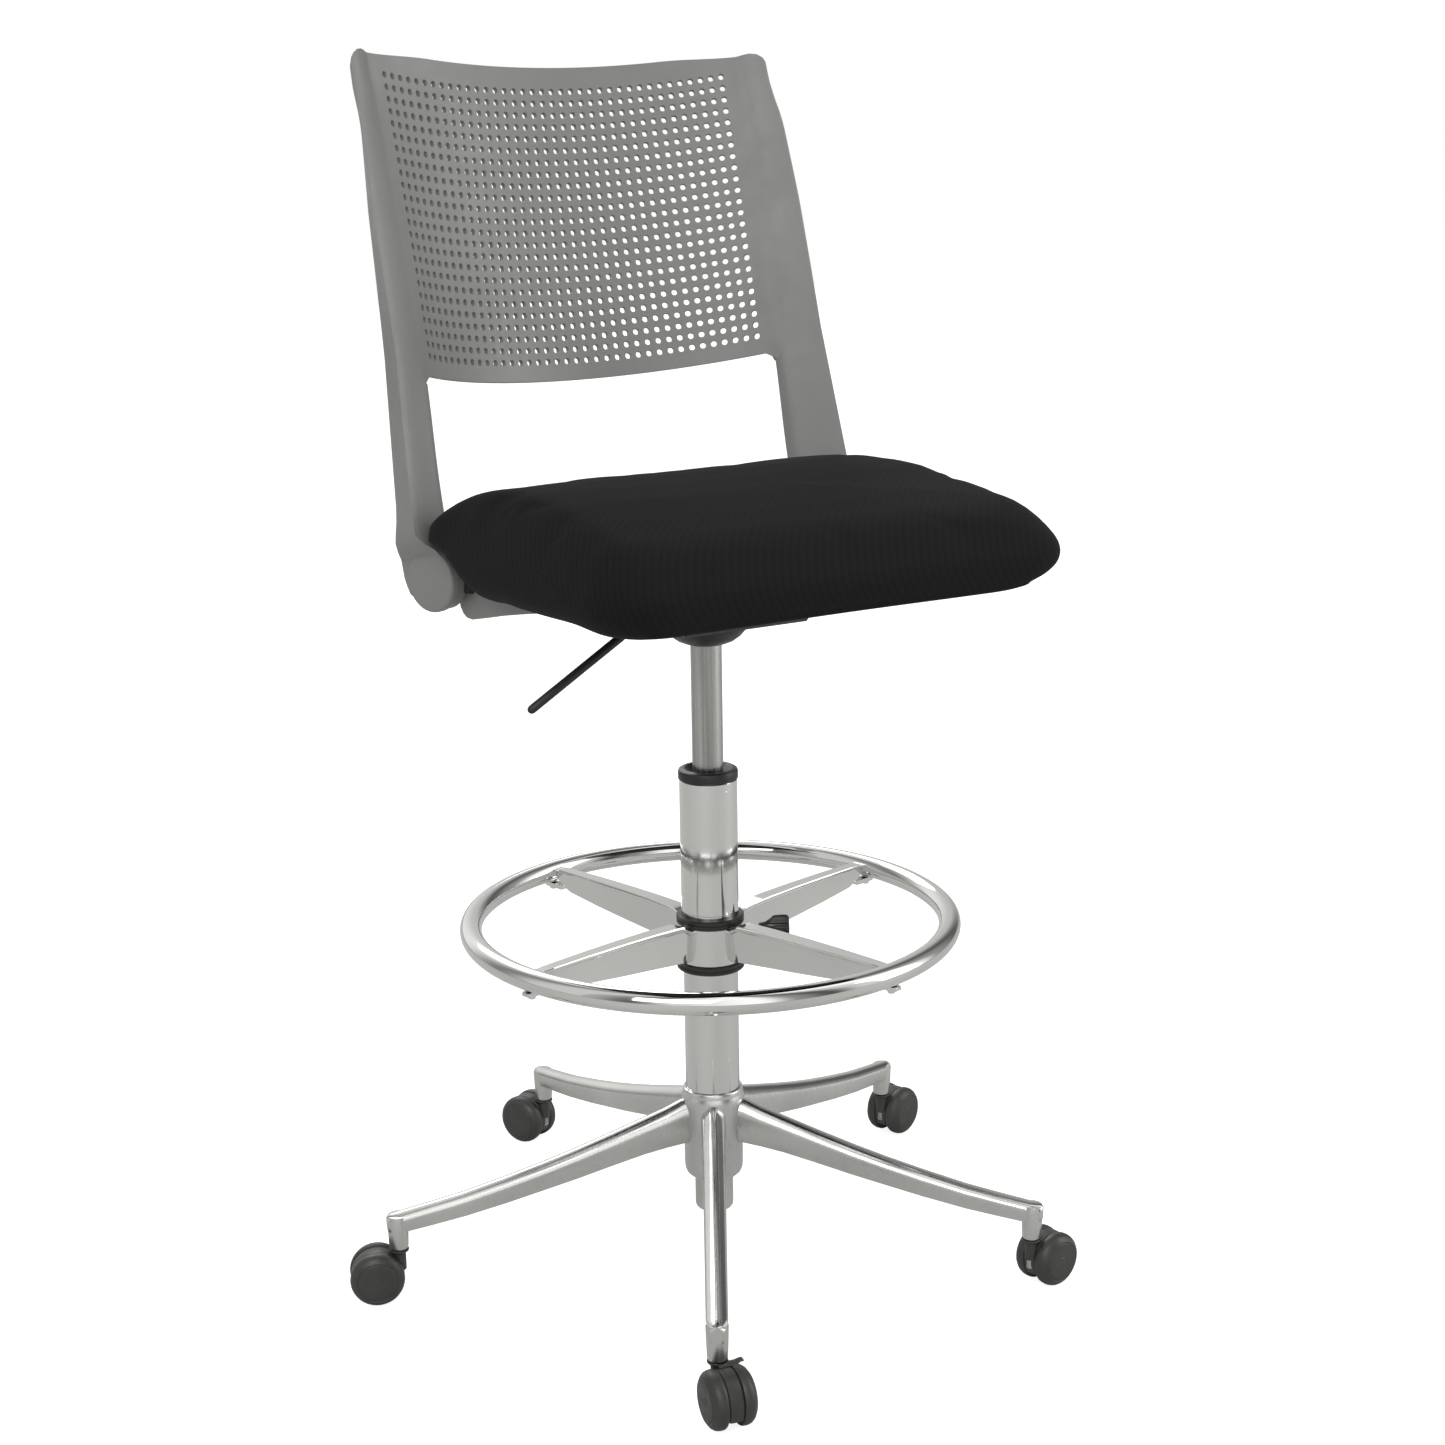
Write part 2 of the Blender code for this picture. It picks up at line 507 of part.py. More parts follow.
def make_hinge(side, name):
    """Arm, pin and spring on one side of the seat; side is +1 or -1."""
    inner_x, outer_x = 170 * MM * side, 181.5 * MM * side
    outline = arc_points(PIVOT_Y, PIVOT_Z, 15 * MM, 100, -50, 15, inner_x)
    outline += [Vector((inner_x, y * MM, z * MM)) for y, z in
                ((118, 614), (110, 607.5), (98, 607), (40, 620), (-30, 633.5), (-75, 637), (-75, 641), (55, 641),
                 (84, 647), (100, 655))]
    arm = make_object("hinge_arm_" + name, extrude_outline(outline, Vector((outer_x - inner_x, 0, 0))),
                      "grey_plastic", smooth=False)
    pivot = Vector((0, PIVOT_Y, PIVOT_Z))
    out = Vector((side, 0, 0))
    cut(arm, "arm_eye_cut_" + name, spun_at(disc_profile(HINGE_PIN_R + GAP, 160 * MM, 190 * MM), pivot, out, 14))
    make_object("hinge_pin_" + name, spun_at(disc_profile(HINGE_PIN_R, 146 * MM, 199 * MM, 0.8 * MM), pivot, out, 14),
                "steel", pivot)
    turns, steps = 3, 9
    sides = 5
    rows = []
    for i in range(turns * steps + 1):
        a = math.tau * i / steps
        x = side * (149 + 17 * i / (turns * steps)) * MM
        radial = Vector((0, math.cos(a), math.sin(a)))
        centre = pivot + Vector((x, 0, 0)) + radial * (7.6 * MM)
        rows.append([centre + radial * (1.2 * MM * math.cos(math.tau * k / sides))
                     + Vector((1.2 * MM * math.sin(math.tau * k / sides), 0, 0)) for k in range(sides)])
    make_object("hinge_spring_" + name, loft(rows), "steel")


# ---- back ---------------------------------------------------------------
def side_line(z):
    return SIDE_Y_AT_PANEL + (z - PANEL_MID_Z) * SIDE_LEAN


def share(z, low, high):
    return min(max((z - low) / (high - low), 0.0), 1.0)


def ramp(z, *knots):
    """Piecewise-linear value at height z (mm) from (height, value) pairs in rising order."""
    if z <= knots[0][0]:
        return knots[0][1]
    for (z0, v0), (z1, v1) in zip(knots, knots[1:]):
        if z <= z1:
            return v0 + (v1 - v0) * (z - z0) / (z1 - z0)
    return knots[-1][1]


def back_row(height):
    """Front and rear outline of the back at one height in mm, as lists of points across the chair."""
    z = height * MM
    up = share(z, PANEL_BOTTOM_Z, PANEL_TOP_Z)
    sagitta = (66.5 - 28.0 * up) * MM
    radius = (ARC_HALF_W ** 2 + sagitta ** 2) / (2 * sagitta)
    base = math.sqrt(radius ** 2 - ARC_HALF_W ** 2)
    lean = math.radians(15.7 + 4.5 * up)
    deep = ramp(height, (614, 20), (700, 25), (830, 24), (1096, 16)) * MM

    def spot(x, depth):
        return Vector((x, side_line(z) + depth * math.cos(lean), z - depth * math.sin(lean)))

    front, rear = [], []
    panel_cols = 14
    reach = math.asin(PANEL_HALF_W / radius)
    for i in range(panel_cols + 1):
        phi = reach * (2.0 * i / panel_cols - 1.0)
        x, depth = radius * math.sin(phi), radius * math.cos(phi) - base
        front.append(spot(x, depth))
        rear.append(spot(x + PANEL_T * math.sin(phi), depth + PANEL_T * math.cos(phi)))

    inner_y = (radius * math.cos(reach) - base) * ramp(height, (705, 0), (814, 1))
    outer_x = ramp(height, (690, 230), (831, 221), (1075, 219)) * MM - PANEL_HALF_W
    outer_y = ramp(height, (690, -39), (831, -38), (1075, -29)) * MM - inner_y
    narrow = ramp(height, (614, 0.25), (643, 0.45), (655, 0.65), (670, 0.88), (690, 1.0))
    for sign in (-1, 1):
        face, flank = [], []
        for part, depth in ((0.0, 0.45), (0.35, 0.9), (0.8, 1.0), (1.0, 0.8)):
            x = sign * (PANEL_HALF_W + outer_x * part * narrow)
            y = inner_y + outer_y * part * narrow
            lift = 3 * MM if part == 1.0 else 0.0
            face.append(spot(x, y + lift))
            flank.append(spot(x + sign * 3 * MM * part, y + deep * depth))
        if sign < 0:
            front = face[:0:-1] + [face[0]] + front[1:]
            rear = flank[:0:-1] + [flank[0]] + rear[1:]
        else:
            front = front[:-1] + face
            rear = rear[:-1] + flank
    return front, rear


def make_back_shell():
    """Panel and uprights as one grid with an opening below the panel; front and rear skins joined at every rim."""
    heights = [618, 630, 641, 656, 670, 690, 730, 770, 806, 814, 850, 900, 950, 1000, 1050, 1084, 1096]
    rows = [back_row(z) for z in heights]
    upright_cols = 3
    columns = len(rows[0][0])
    panel_row = heights.index(814)
    corner = {len(heights) - 1: (17, 8, 4), len(heights) - 2: (9, 3, 1)}     # mm the top corners fall away
    bm = bmesh.new()
    grids = []
    for skin in (0, 1):
        grid = []
        for j, row in enumerate(rows):
            line = []
            for i, p in enumerate(row[skin]):
                p = p.copy()
                from_side = min(i, columns - 1 - i)
                if j in corner and from_side < 3:
                    p.z -= corner[j][from_side] * MM
                if j == 0 and from_side == 0:
                    p.z += 5 * MM
                line.append(bm.verts.new(p))
            grid.append(line)
        grids.append(grid)

    def present(i, j):
        return j >= panel_row or i < upright_cols or i >= columns - 1 - upright_cols

    front, rear = grids
    for j in range(len(heights) - 1):
        for i in range(columns - 1):
            if not present(i, j):
                continue
            a, b, c, d = (i, j), (i + 1, j), (i + 1, j + 1), (i, j + 1)
            bm.faces.new([front[q][p] for p, q in (a, b, c, d)])
            bm.faces.new([rear[q][p] for p, q in (d, c, b, a)])
            for (p, q), (r, s), (u, v) in ((a, b, (i, j - 1)), (b, c, (i + 1, j)),
                                           (c, d, (i, j + 1)), (d, a, (i - 1, j))):
                inside = 0 <= u < columns - 1 and 0 <= v < len(heights) - 1 and present(u, v)
                if not inside:
                    bm.faces.new((front[q][p], rear[q][p], rear[s][r], front[s][r]))
    loose = [v for v in bm.verts if not v.link_faces]
    bmesh.ops.delete(bm, geom=loose, context='VERTS')
    bmesh.ops.triangulate(bm, faces=bm.faces[:])
    pivot = Vector((0, PIVOT_Y, PIVOT_Z))
    shell = make_object("back_shell", bm, "grey_plastic", pivot)
    for side, name in ((-1, "left"), (1, "right")):
        centre, outward = cap_place(side)
        drum = spun_at(disc_profile(CAP_R - 1.2 * MM, -20 * MM, -CAP_T + MM), centre, outward, 24)
        add(shell, f"hinge_drum_{name}_shape", drum)
        seat = spun_at(disc_profile(CAP_R + GAP, -CAP_T - GAP, 30 * MM), centre, outward, 24)
        cut(shell, f"cap_seat_{name}_cut", seat)
        bore = spun_at(disc_profile(HINGE_PIN_R + GAP, 170 * MM, 206 * MM), pivot, (side, 0, 0), 14)
        cut(shell, f"hinge_bore_{name}_cut", bore)


def cap_place(side):
    angle = math.radians(CAP_TURN)
    return (Vector((side * CAP_X, PIVOT_Y, PIVOT_Z)),
            Vector((side * math.cos(angle), -math.sin(angle), 0)))


def make_cap(side, name):
    centre, outward = cap_place(side)
    profile = [(0, -CAP_T), (CAP_R, -CAP_T), (CAP_R, -2 * MM), (CAP_R - 1.5 * MM, 0), (CAP_R * 0.5, 1.2 * MM),
               (0, 1.6 * MM)]
    make_object("hinge_cap_" + name, spun_at(profile, centre, outward, 28), "grey_plastic", centre)


def main():
    make_star_base()
    for index in range(LEG_COUNT):
        make_caster(index)
    make_column()
    make_spindle()
    make_foot_ring()
    make_gas_cylinder()
    make_mechanism()
    make_lever()
    make_seat()
    for side, name in ((-1, "left"), (1, "right")):
        make_hinge(side, name)
        make_cap(side, name)
    make_back_shell()


clear_scene()
COLUMN = bpy.data.objects.new("column_axis", None)
COLUMN.location = (*COLUMN_XY, 0.0)
bpy.context.collection.objects.link(COLUMN)
main()
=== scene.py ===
"""Drafting chair, studio model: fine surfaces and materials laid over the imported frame."""

import json
import math

import bmesh
import bpy
from bpy.props import FloatProperty, IntProperty, PointerProperty
from mathutils import Matrix, Vector

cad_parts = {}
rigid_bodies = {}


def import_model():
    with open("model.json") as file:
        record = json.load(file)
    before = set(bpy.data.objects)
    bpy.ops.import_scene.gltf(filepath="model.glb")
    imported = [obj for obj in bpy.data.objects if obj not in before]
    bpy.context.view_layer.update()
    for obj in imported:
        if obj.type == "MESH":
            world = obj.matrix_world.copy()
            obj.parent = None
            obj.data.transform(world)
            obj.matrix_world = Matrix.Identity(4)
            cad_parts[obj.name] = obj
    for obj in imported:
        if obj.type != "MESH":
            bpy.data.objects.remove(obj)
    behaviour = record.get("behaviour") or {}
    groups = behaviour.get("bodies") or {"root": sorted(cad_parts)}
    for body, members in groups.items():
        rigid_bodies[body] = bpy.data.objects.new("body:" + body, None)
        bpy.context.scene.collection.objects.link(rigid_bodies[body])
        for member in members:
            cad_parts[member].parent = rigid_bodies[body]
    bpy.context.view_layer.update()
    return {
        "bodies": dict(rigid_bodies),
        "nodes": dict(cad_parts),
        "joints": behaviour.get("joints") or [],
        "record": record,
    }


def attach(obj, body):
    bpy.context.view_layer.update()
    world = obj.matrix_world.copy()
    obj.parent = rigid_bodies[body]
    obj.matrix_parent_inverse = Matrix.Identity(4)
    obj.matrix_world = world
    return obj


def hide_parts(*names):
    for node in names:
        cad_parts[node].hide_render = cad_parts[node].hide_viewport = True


bl_info = {
    "name": "Drafting Chair",
    "version": (1, 0, 0),
    "blender": (4, 5, 0),
    "location": "View3D > Sidebar > Chair",
    "description": "Builds the finished surfaces of a drafting chair over its frame",
    "category": "Object",
}

MM = 0.001
COLUMN = Vector((0.0063, -0.0222, 0.0))     # column axis in the frame
TRAIL_DIR = (259.0, 7.0, 18.0, 115.0, 157.0)    # rolling direction of each caster, degrees
TRAIL = 20.5                                # mm from the swivel pin to the axle
WHEEL_R = 24.5
FIRST_LEG = -122.0
FIRST_SPOKE = 13.0
PIVOT = Vector((0.0, 115.0, 643.0))
CAP_TURN = math.radians(18.7)


# ---- settings -----------------------------------------------------------
class ChairSettings(bpy.types.PropertyGroup):
    """Sizes and looks of the finished chair"""
    hole_columns: IntProperty(name="Hole columns", description="Columns of holes across the back",
                              default=37, min=5, max=61)
    hole_rows: IntProperty(name="Hole rows", description="Rows of holes down the back",
                           default=24, min=4, max=41)
    hole_size: FloatProperty(name="Hole size", description="Hole width as a share of the pitch",
                             default=0.56, min=0.2, max=0.8)
    panel_thickness: FloatProperty(name="Panel thickness", description="Thickness of the back panel in mm",
                                   default=5.0, min=2.0, max=8.0)
    cushion_swell: FloatProperty(name="Cushion swell", description="Most that the filling pushes the cover, in mm",
                                 default=4.0, min=0.0, max=12.0)
    weave_pitch: FloatProperty(name="Weave pitch", description="Width of one twill rib in mm",
                               default=2.3, min=0.5, max=6.0)


# ---- geometry helpers ---------------------------------------------------
def at(x, y, z):
    """A point given in mm from the foot of the column axis, in the frame's metres."""
    return COLUMN + Vector((x, y, z)) * MM


def heading(degrees):
    return Vector((math.cos(math.radians(degrees)), math.sin(math.radians(degrees)), 0.0))


def smooth(t):
    t = min(max(t, 0.0), 1.0)
    return t * t * (3.0 - 2.0 * t)


def ramp(value, *knots):
    """Piecewise-linear look-up between (position, value) pairs in rising order."""
    if value <= knots[0][0]:
        return knots[0][1]
    for (a, va), (b, vb) in zip(knots, knots[1:]):
        if value <= b:
            return va + (vb - va) * (value - a) / (b - a)
    return knots[-1][1]


def finish_mesh(name, bm, material, sharp=35.0, recalc=True):
    """Mesh in mm round the column foot becomes an object in the frame, shaded smooth."""
    if recalc:
        bmesh.ops.recalc_face_normals(bm, faces=bm.faces)
    bmesh.ops.transform(bm, matrix=Matrix.Translation(COLUMN) @ Matrix.Scale(MM, 4), verts=bm.verts)
    mesh = bpy.data.meshes.new(name)
    bm.to_mesh(mesh)
    bm.free()
    mesh.shade_smooth()
    if sharp:
        mesh.set_sharp_from_angle(angle=math.radians(sharp))
    mesh.materials.append(material)
    obj = bpy.data.objects.new(name, mesh)
    bpy.context.scene.collection.objects.link(obj)
    return obj


def bevelled(obj, width, segments=3, angle=35.0):
    mod = obj.modifiers.new("edges", 'BEVEL')
    mod.width = width * MM
    mod.segments = segments
    mod.limit_method = 'ANGLE'
    mod.angle_limit = math.radians(angle)
    mod.harden_normals = True
    return obj


def turned(profile, segments=64):
    """Closed (radius, height) profile turned about Z."""
    bm = bmesh.new()
    verts = [bm.verts.new((r, 0.0, z)) for r, z in profile]
    edges = [bm.edges.new(pair) for pair in zip(verts, verts[1:])]
    if all(r > 1e-6 for r, _ in profile):
        edges.append(bm.edges.new((verts[-1], verts[0])))
    bmesh.ops.spin(bm, geom=verts + edges, cent=(0, 0, 0), axis=(0, 0, 1), angle=math.tau,
                   steps=segments, use_merge=True)
    bmesh.ops.remove_doubles(bm, verts=bm.verts, dist=1e-4)
    return bm


def aimed(bm, where, direction):
    turn = Vector((0, 0, 1)).rotation_difference(Vector(direction)).to_matrix().to_4x4()
    bmesh.ops.transform(bm, matrix=Matrix.Translation(Vector(where)) @ turn, verts=bm.verts)
    return bm


def round_edge(radius, height, fillet, steps=4, bottom=False):
    """Points of a quarter round from the flank up to the top face, or down to the bottom face."""
    points = []
    for i in range(steps + 1):
        a = math.pi / 2 * i / steps
        z = height - fillet + fillet * math.sin(a)
        if bottom:
            z = height + fillet - fillet * math.sin(a)
        points.append((radius - fillet + fillet * math.cos(a), z))
    return points


def drum(radius, low, high, fillet=0.8, inner=0.0):
    profile = [(inner, low)] + round_edge(radius, low, fillet, bottom=True)[::-1]
    profile += round_edge(radius, high, fillet) + [(inner, high)]
    return profile


def skin(rows, closed=True, caps=True):
    """Quads over a list of equal rows of points."""
    bm = bmesh.new()
    grid = [[bm.verts.new(p) for p in row] for row in rows]
    count = len(grid[0])
    last = count if closed else count - 1
    for low, high in zip(grid, grid[1:]):
        for i in range(last):
            j = (i + 1) % count
            bm.faces.new((low[i], low[j], high[j], high[i]))
    if caps:
        bm.faces.new(grid[0])
        bm.faces.new(grid[-1])
    return bm


def merge(target, source):
    """Adds one bmesh to another."""
    mesh = bpy.data.meshes.new("part")
    source.to_mesh(mesh)
    source.free()
    target.from_mesh(mesh)
    bpy.data.meshes.remove(mesh)
    return target


def tube(path, radius, sides=16, flat=1.0):
    """Rounded bar along a list of points, with rounded ends."""
    path = [Vector(p) for p in path]
    ahead, behind = (path[1] - path[0]).normalized(), (path[-1] - path[-2]).normalized()
    stations = [(path[0] - ahead * radius * math.sin(a) , math.cos(a)) for a in (1.5, 1.1, 0.6)]
    stations += [(p, 1.0) for p in path]
    stations += [(path[-1] + behind * radius * math.sin(a), math.cos(a)) for a in (0.6, 1.1, 1.5)]
    rows = []
    for i, (p, scale) in enumerate(stations):
        a, b = stations[max(i - 1, 0)][0], stations[min(i + 1, len(stations) - 1)][0]
        tangent = (b - a).normalized()
        side = tangent.cross(Vector((0, 0, 1))).normalized()
        up = side.cross(tangent)
        rows.append([p + (side * math.cos(math.tau * k / sides) * flat + up * math.sin(math.tau * k / sides))
                     * radius * scale for k in range(sides)])
    return skin(rows)


# ---- materials ----------------------------------------------------------
class Look:
    """Small builder for a node material on object coordinates."""

    def __init__(self, name, color, rough, metal=0.0):
        self.mat = bpy.data.materials.new(name)
        self.mat.use_nodes = True
        self.nodes, self.links = self.mat.node_tree.nodes, self.mat.node_tree.links
        self.shader = self.nodes["Principled BSDF"]
        self.color, self.rough = color, rough
        self.put("Base Color", (*color, 1.0))
        self.put("Roughness", rough)
        self.put("Metallic", metal)
        self.coords = self.nodes.new("ShaderNodeTexCoord").outputs["Object"]
        self.height = None

    def put(self, socket, value):
        self.shader.inputs[socket].default_value = value
        return self

    def add(self, kind, **settings):
        node = self.nodes.new(kind)
        for key, value in settings.items():
            if key in node.inputs:
                node.inputs[key].default_value = value
            else:
                setattr(node, key, value)
        return node

    def scaled(self, scale):
        node = self.add("ShaderNodeMapping", Scale=scale)
        self.links.new(self.coords, node.inputs["Vector"])
        return node.outputs["Vector"]

    def noise(self, scale, detail=3.0, stretch=(1, 1, 1), rough=0.55):
        node = self.add("ShaderNodeTexNoise", Scale=scale, Detail=detail, Roughness=rough)
        self.links.new(self.scaled(stretch), node.inputs["Vector"])
        return node.outputs["Fac"]

    def spread(self, source, low, high, source_low=0.3, source_high=0.7):
        node = self.add("ShaderNodeMapRange")
        for socket, value in (("From Min", source_low), ("From Max", source_high), ("To Min", low),
                              ("To Max", high)):
            node.inputs[socket].default_value = value
        self.links.new(source, node.inputs["Value"])
        return node.outputs["Result"]

    def vary_rough(self, source, amount):
        self.links.new(self.spread(source, self.rough - amount, self.rough + amount), self.shader.inputs["Roughness"])
        return self

    def vary_color(self, source, dark, bright=1.0):
        node = self.add("ShaderNodeMix", data_type='RGBA')
        node.inputs[6].default_value = (*[c * dark for c in self.color], 1.0)
        node.inputs[7].default_value = (*[c * bright for c in self.color], 1.0)
        self.links.new(self.spread(source, 0.0, 1.0), node.inputs[0])
        self.links.new(node.outputs[2], self.shader.inputs["Base Color"])
        return self

    def bump(self, source, distance, strength=1.0):
        node = self.add("ShaderNodeBump", Strength=strength, Distance=distance)
        self.links.new(source, node.inputs["Height"])
        if self.height:
            self.links.new(self.height, node.inputs["Normal"])
        self.height = node.outputs["Normal"]
        self.links.new(self.height, self.shader.inputs["Normal"])
        return self

    def math(self, operation, a, b=None):
        node = self.add("ShaderNodeMath", operation=operation)
        for i, value in enumerate((a, b)):
            if value is None:
                continue
            if isinstance(value, (int, float)):
                node.inputs[i].default_value = value
            else:
                self.links.new(value, node.inputs[i])
        return node.outputs[0]


def grey_plastic():
    look = Look("grey_plastic", (0.245, 0.249, 0.238), 0.46)
    look.vary_color(look.noise(9.0, 4), 0.93, 1.04)
    look.vary_rough(look.noise(60.0, 3), 0.06)
    look.bump(look.noise(1500.0, 3), 0.00012, 0.5)
    return look.mat


def black_plastic(name="black_plastic", color=(0.016, 0.016, 0.0155), rough=0.40):
    look = Look(name, color, rough)
    look.vary_color(look.noise(22.0, 3), 0.8, 1.25)
    look.vary_rough(look.noise(90.0, 3), 0.08)
    look.bump(look.noise(1300.0, 2), 0.0001, 0.4)
    return look.mat


def chrome():
    look = Look("chrome", (0.80, 0.80, 0.785), 0.07, 1.0)
    look.vary_rough(look.noise(14.0, 5), 0.025)
    look.vary_color(look.noise(5.0, 2), 0.94, 1.02)
    return look.mat


def polished_aluminium():
    """Cast and polished: bright upper faces, brushed flanks."""
    look = Look("polished_aluminium", (0.70, 0.70, 0.685), 0.20, 1.0)
    geometry = look.add("ShaderNodeNewGeometry")
    split = look.add("ShaderNodeSeparateXYZ")
    look.links.new(geometry.outputs["Normal"], split.inputs["Vector"])
    flank = look.spread(split.outputs["Z"], 1.0, 0.0, 0.1, 0.75)
    fine = look.noise(420.0, 3, (1.0, 1.0, 0.12))
    rough = look.math('MULTIPLY_ADD', flank, 0.17)
    rough.node.inputs[2].default_value = 0.13
    total = look.math('ADD', rough, look.spread(fine, -0.04, 0.05))
    look.links.new(total, look.shader.inputs["Roughness"])
    look.bump(look.math('MULTIPLY', fine, flank), 0.00012, 0.35)
    look.vary_color(look.noise(11.0, 3), 0.90, 1.03)
    return look.mat


def satin_steel(name="satin_steel", streak=0.05):
    """Ground steel with fine lines along the axis."""
    look = Look(name, (0.50, 0.50, 0.485), 0.30, 1.0)
    lines = look.noise(900.0, 3, (1.0, 1.0, streak))
    broad = look.noise(150.0, 2, (1.0, 1.0, streak * 0.4))
    look.vary_rough(lines, 0.09)
    look.vary_color(broad, 0.62, 1.25)
    look.bump(lines, 0.00005, 0.5)
    return look.mat


def twill(pitch):
    """Black woven cover: diagonal ribs crossed by finer threads, with a slight fuzz."""
    look = Look("seat_fabric", (0.0088, 0.0088, 0.0089), 0.92)
    rib = look.add("ShaderNodeTexWave", wave_type='BANDS', bands_direction='DIAGONAL', wave_profile='SIN',
                   Scale=math.tau / 20 / (pitch * MM) * 0.58, Distortion=0.6, Detail=2.0)
    rib.inputs["Detail Scale"].default_value = 2.0
    look.links.new(look.scaled((1.0, -1.0, 0.4)), rib.inputs["Vector"])
    thread = look.add("ShaderNodeTexWave", wave_type='BANDS', bands_direction='X', wave_profile='SIN',
                      Scale=math.tau / 20 / (pitch * MM * 0.5), Distortion=1.2, Detail=2.0)
    look.links.new(look.scaled((1.0, 0.35, 0.6)), thread.inputs["Vector"])
    cloth = look.math('ADD', rib.outputs["Fac"], look.math('MULTIPLY', thread.outputs["Fac"], 0.55))
    look.vary_color(cloth, 0.88, 1.14)
    fuzz = look.noise(1500.0, 2)
    look.bump(cloth, 0.00012, 0.30)
    look.bump(fuzz, 0.00030, 0.55)
    look.bump(look.noise(16.0, 2), 0.0012, 0.25)
    look.put("Sheen Weight", 0.035).put("Sheen Roughness", 0.5).put("Specular IOR Level", 0.12)
    look.put("Sheen Tint", (0.55, 0.55, 0.58, 1.0))
    return look.mat


def build_looks(settings):
    looks = {
        "grey": grey_plastic(),
        "black": black_plastic(),
        "nylon": black_plastic("caster_nylon", (0.040, 0.041, 0.037), 0.42),
        "chrome": chrome(),
        "aluminium": polished_aluminium(),
        "steel": satin_steel(),
        "bright": satin_steel("bright_steel", 0.6),
        "fabric": twill(settings.weave_pitch),
    }
    return looks


# ---- the back -----------------------------------------------------------
LEAN_DROP = -242.2                  # mm of height from the first to the last row of holes


def side_point(v):
    """Side line of the back at row v: 0 at the top holes, 1 at the lowest."""
    bow = -1.6 * 4.0 * v * (1.0 - v) if 0.0 <= v <= 1.0 else 0.0
    return 237.5 - 62.1 * v + bow, 1073.6 + LEAN_DROP * v


def offset_dir(v):
    """Run of the curve from its side line to its middle, in y and z."""
    w = min(max(v, -0.1), 1.1)
    bulge = 4.3 * 4.0 * w * (1.0 - w)
    return 36.1 + 27.9 * w + bulge, -13.3 - 4.7 * w


def surface(u, v, depth=0.0):
    """Front face of the back: u across (holes at -1..1), v down, depth towards the rear."""
    w = min(max(v, -0.1), 1.12)
    half = 175.8 - 2.8 * w
    my, mz = offset_dir(w)
    sag = math.hypot(my, mz)
    radius = (half ** 2 + sag ** 2) / (2 * sag)
    reach = math.asin(half / radius)
    sy, sz = side_point(v)
    r = radius + depth
    run = r * math.cos(u * reach) - radius * math.cos(reach)
    return Vector((r * math.sin(u * reach), sy + my / sag * run, sz + mz / sag * run))


EDGE_U = 1.095                      # where the panel passes into the uprights


def upright_section(v):
    """Front and rear points of the right upright at row v, from its inner edge to its outer edge."""
    sy, sz = side_point(v)
    my, mz = offset_dir(v)
    sag = math.hypot(my, mz)
    cy, cz = my / sag, mz / sag
    start = surface(EDGE_U, min(v, 1.1))
    fixed = start - Vector((0, *side_point(min(v, 1.1))))
    back = smooth((v - 1.07) / 0.40)
    inner_x = start.x + (186.0 - start.x) * back
    start_d = fixed.y * cy + fixed.z * cz
    inner_d = start_d + (-8.0 - start_d) * back
    narrow = ramp(v, (1.72, 1.0), (1.78, 0.94), (1.82, 0.80), (1.85, 0.60), (1.89, 0.35))
    outer_x = ramp(v, (-0.09, 216.5), (0.5, 222.5), (1.0, 223.0), (1.6, 231.5))
    outer_d = ramp(v, (0.0, -27.0), (1.0, -38.5), (1.6, -40.0))
    outer_x = inner_x + (outer_x - inner_x) * narrow
    outer_d = inner_d + (outer_d - inner_d) * narrow
    rear_x = ramp(v, (0.0, -9.0), (1.0, -0.5), (1.6, -2.0))
    rear_d = ramp(v, (0.0, 14.5), (1.0, 26.0), (1.55, 38.0), (1.74, 60.0)) * (0.35 + 0.65 * narrow)
    ridge = smooth((v - 0.9) / 0.4)
    front, rear = [], []
    for k, (part, bulge) in enumerate(((0.0, 0.0), (0.10, 0.0), (0.2, -1.2), (0.4, -2.2), (0.62, -2.2),
                                       (0.82, -1.4), (0.94, -0.2), (1.0, 1.2))):
        x = inner_x + (outer_x - inner_x) * part
        d = inner_d + (outer_d - inner_d) * part + bulge * narrow
        if k in (1, 2):
            d -= (3.6, 1.6)[k - 1] * ridge * narrow
        front.append(Vector((x, sy + cy * d, sz + cz * d)))
        rd = (inner_d + 5.5) + (outer_d + rear_d - inner_d - 5.5) * part + 3.0 * ridge * math.sin(math.pi * part)
        rear.append(Vector((x + rear_x * part, sy + cy * rd, sz + cz * rd)))
    hold = smooth((678.0 - sz) / 24.0)
    for line, plane in ((front, -2.0), (rear, -4.0)):
        for p in line:
            out = (p.x - 212.0) * math.cos(CAP_TURN) - (p.y - PIVOT.y) * math.sin(CAP_TURN)
            over = max(out - plane, 0.0) * hold
            p.x -= over * math.cos(CAP_TURN)
            p.y += over * math.sin(CAP_TURN)
    return front, rear


TOP_DIP = 6.0                       # mm the top edge falls away towards its corners


def corner_shift(v, front):
    """Rounds the upper outer corner by lowering the top of the outer columns."""
    outer = front[-1].x
    out = []
    for p in front:
        d = outer - p.x
        radius = 19.0
        drop = radius - math.sqrt(max(radius ** 2 - (radius - min(d, radius)) ** 2, 0.0))
        drop += TOP_DIP * smooth((p.x - 120.0) / 90.0)
        out.append(drop * (1.0 - smooth((v + 0.088) / 0.34)))
    return out


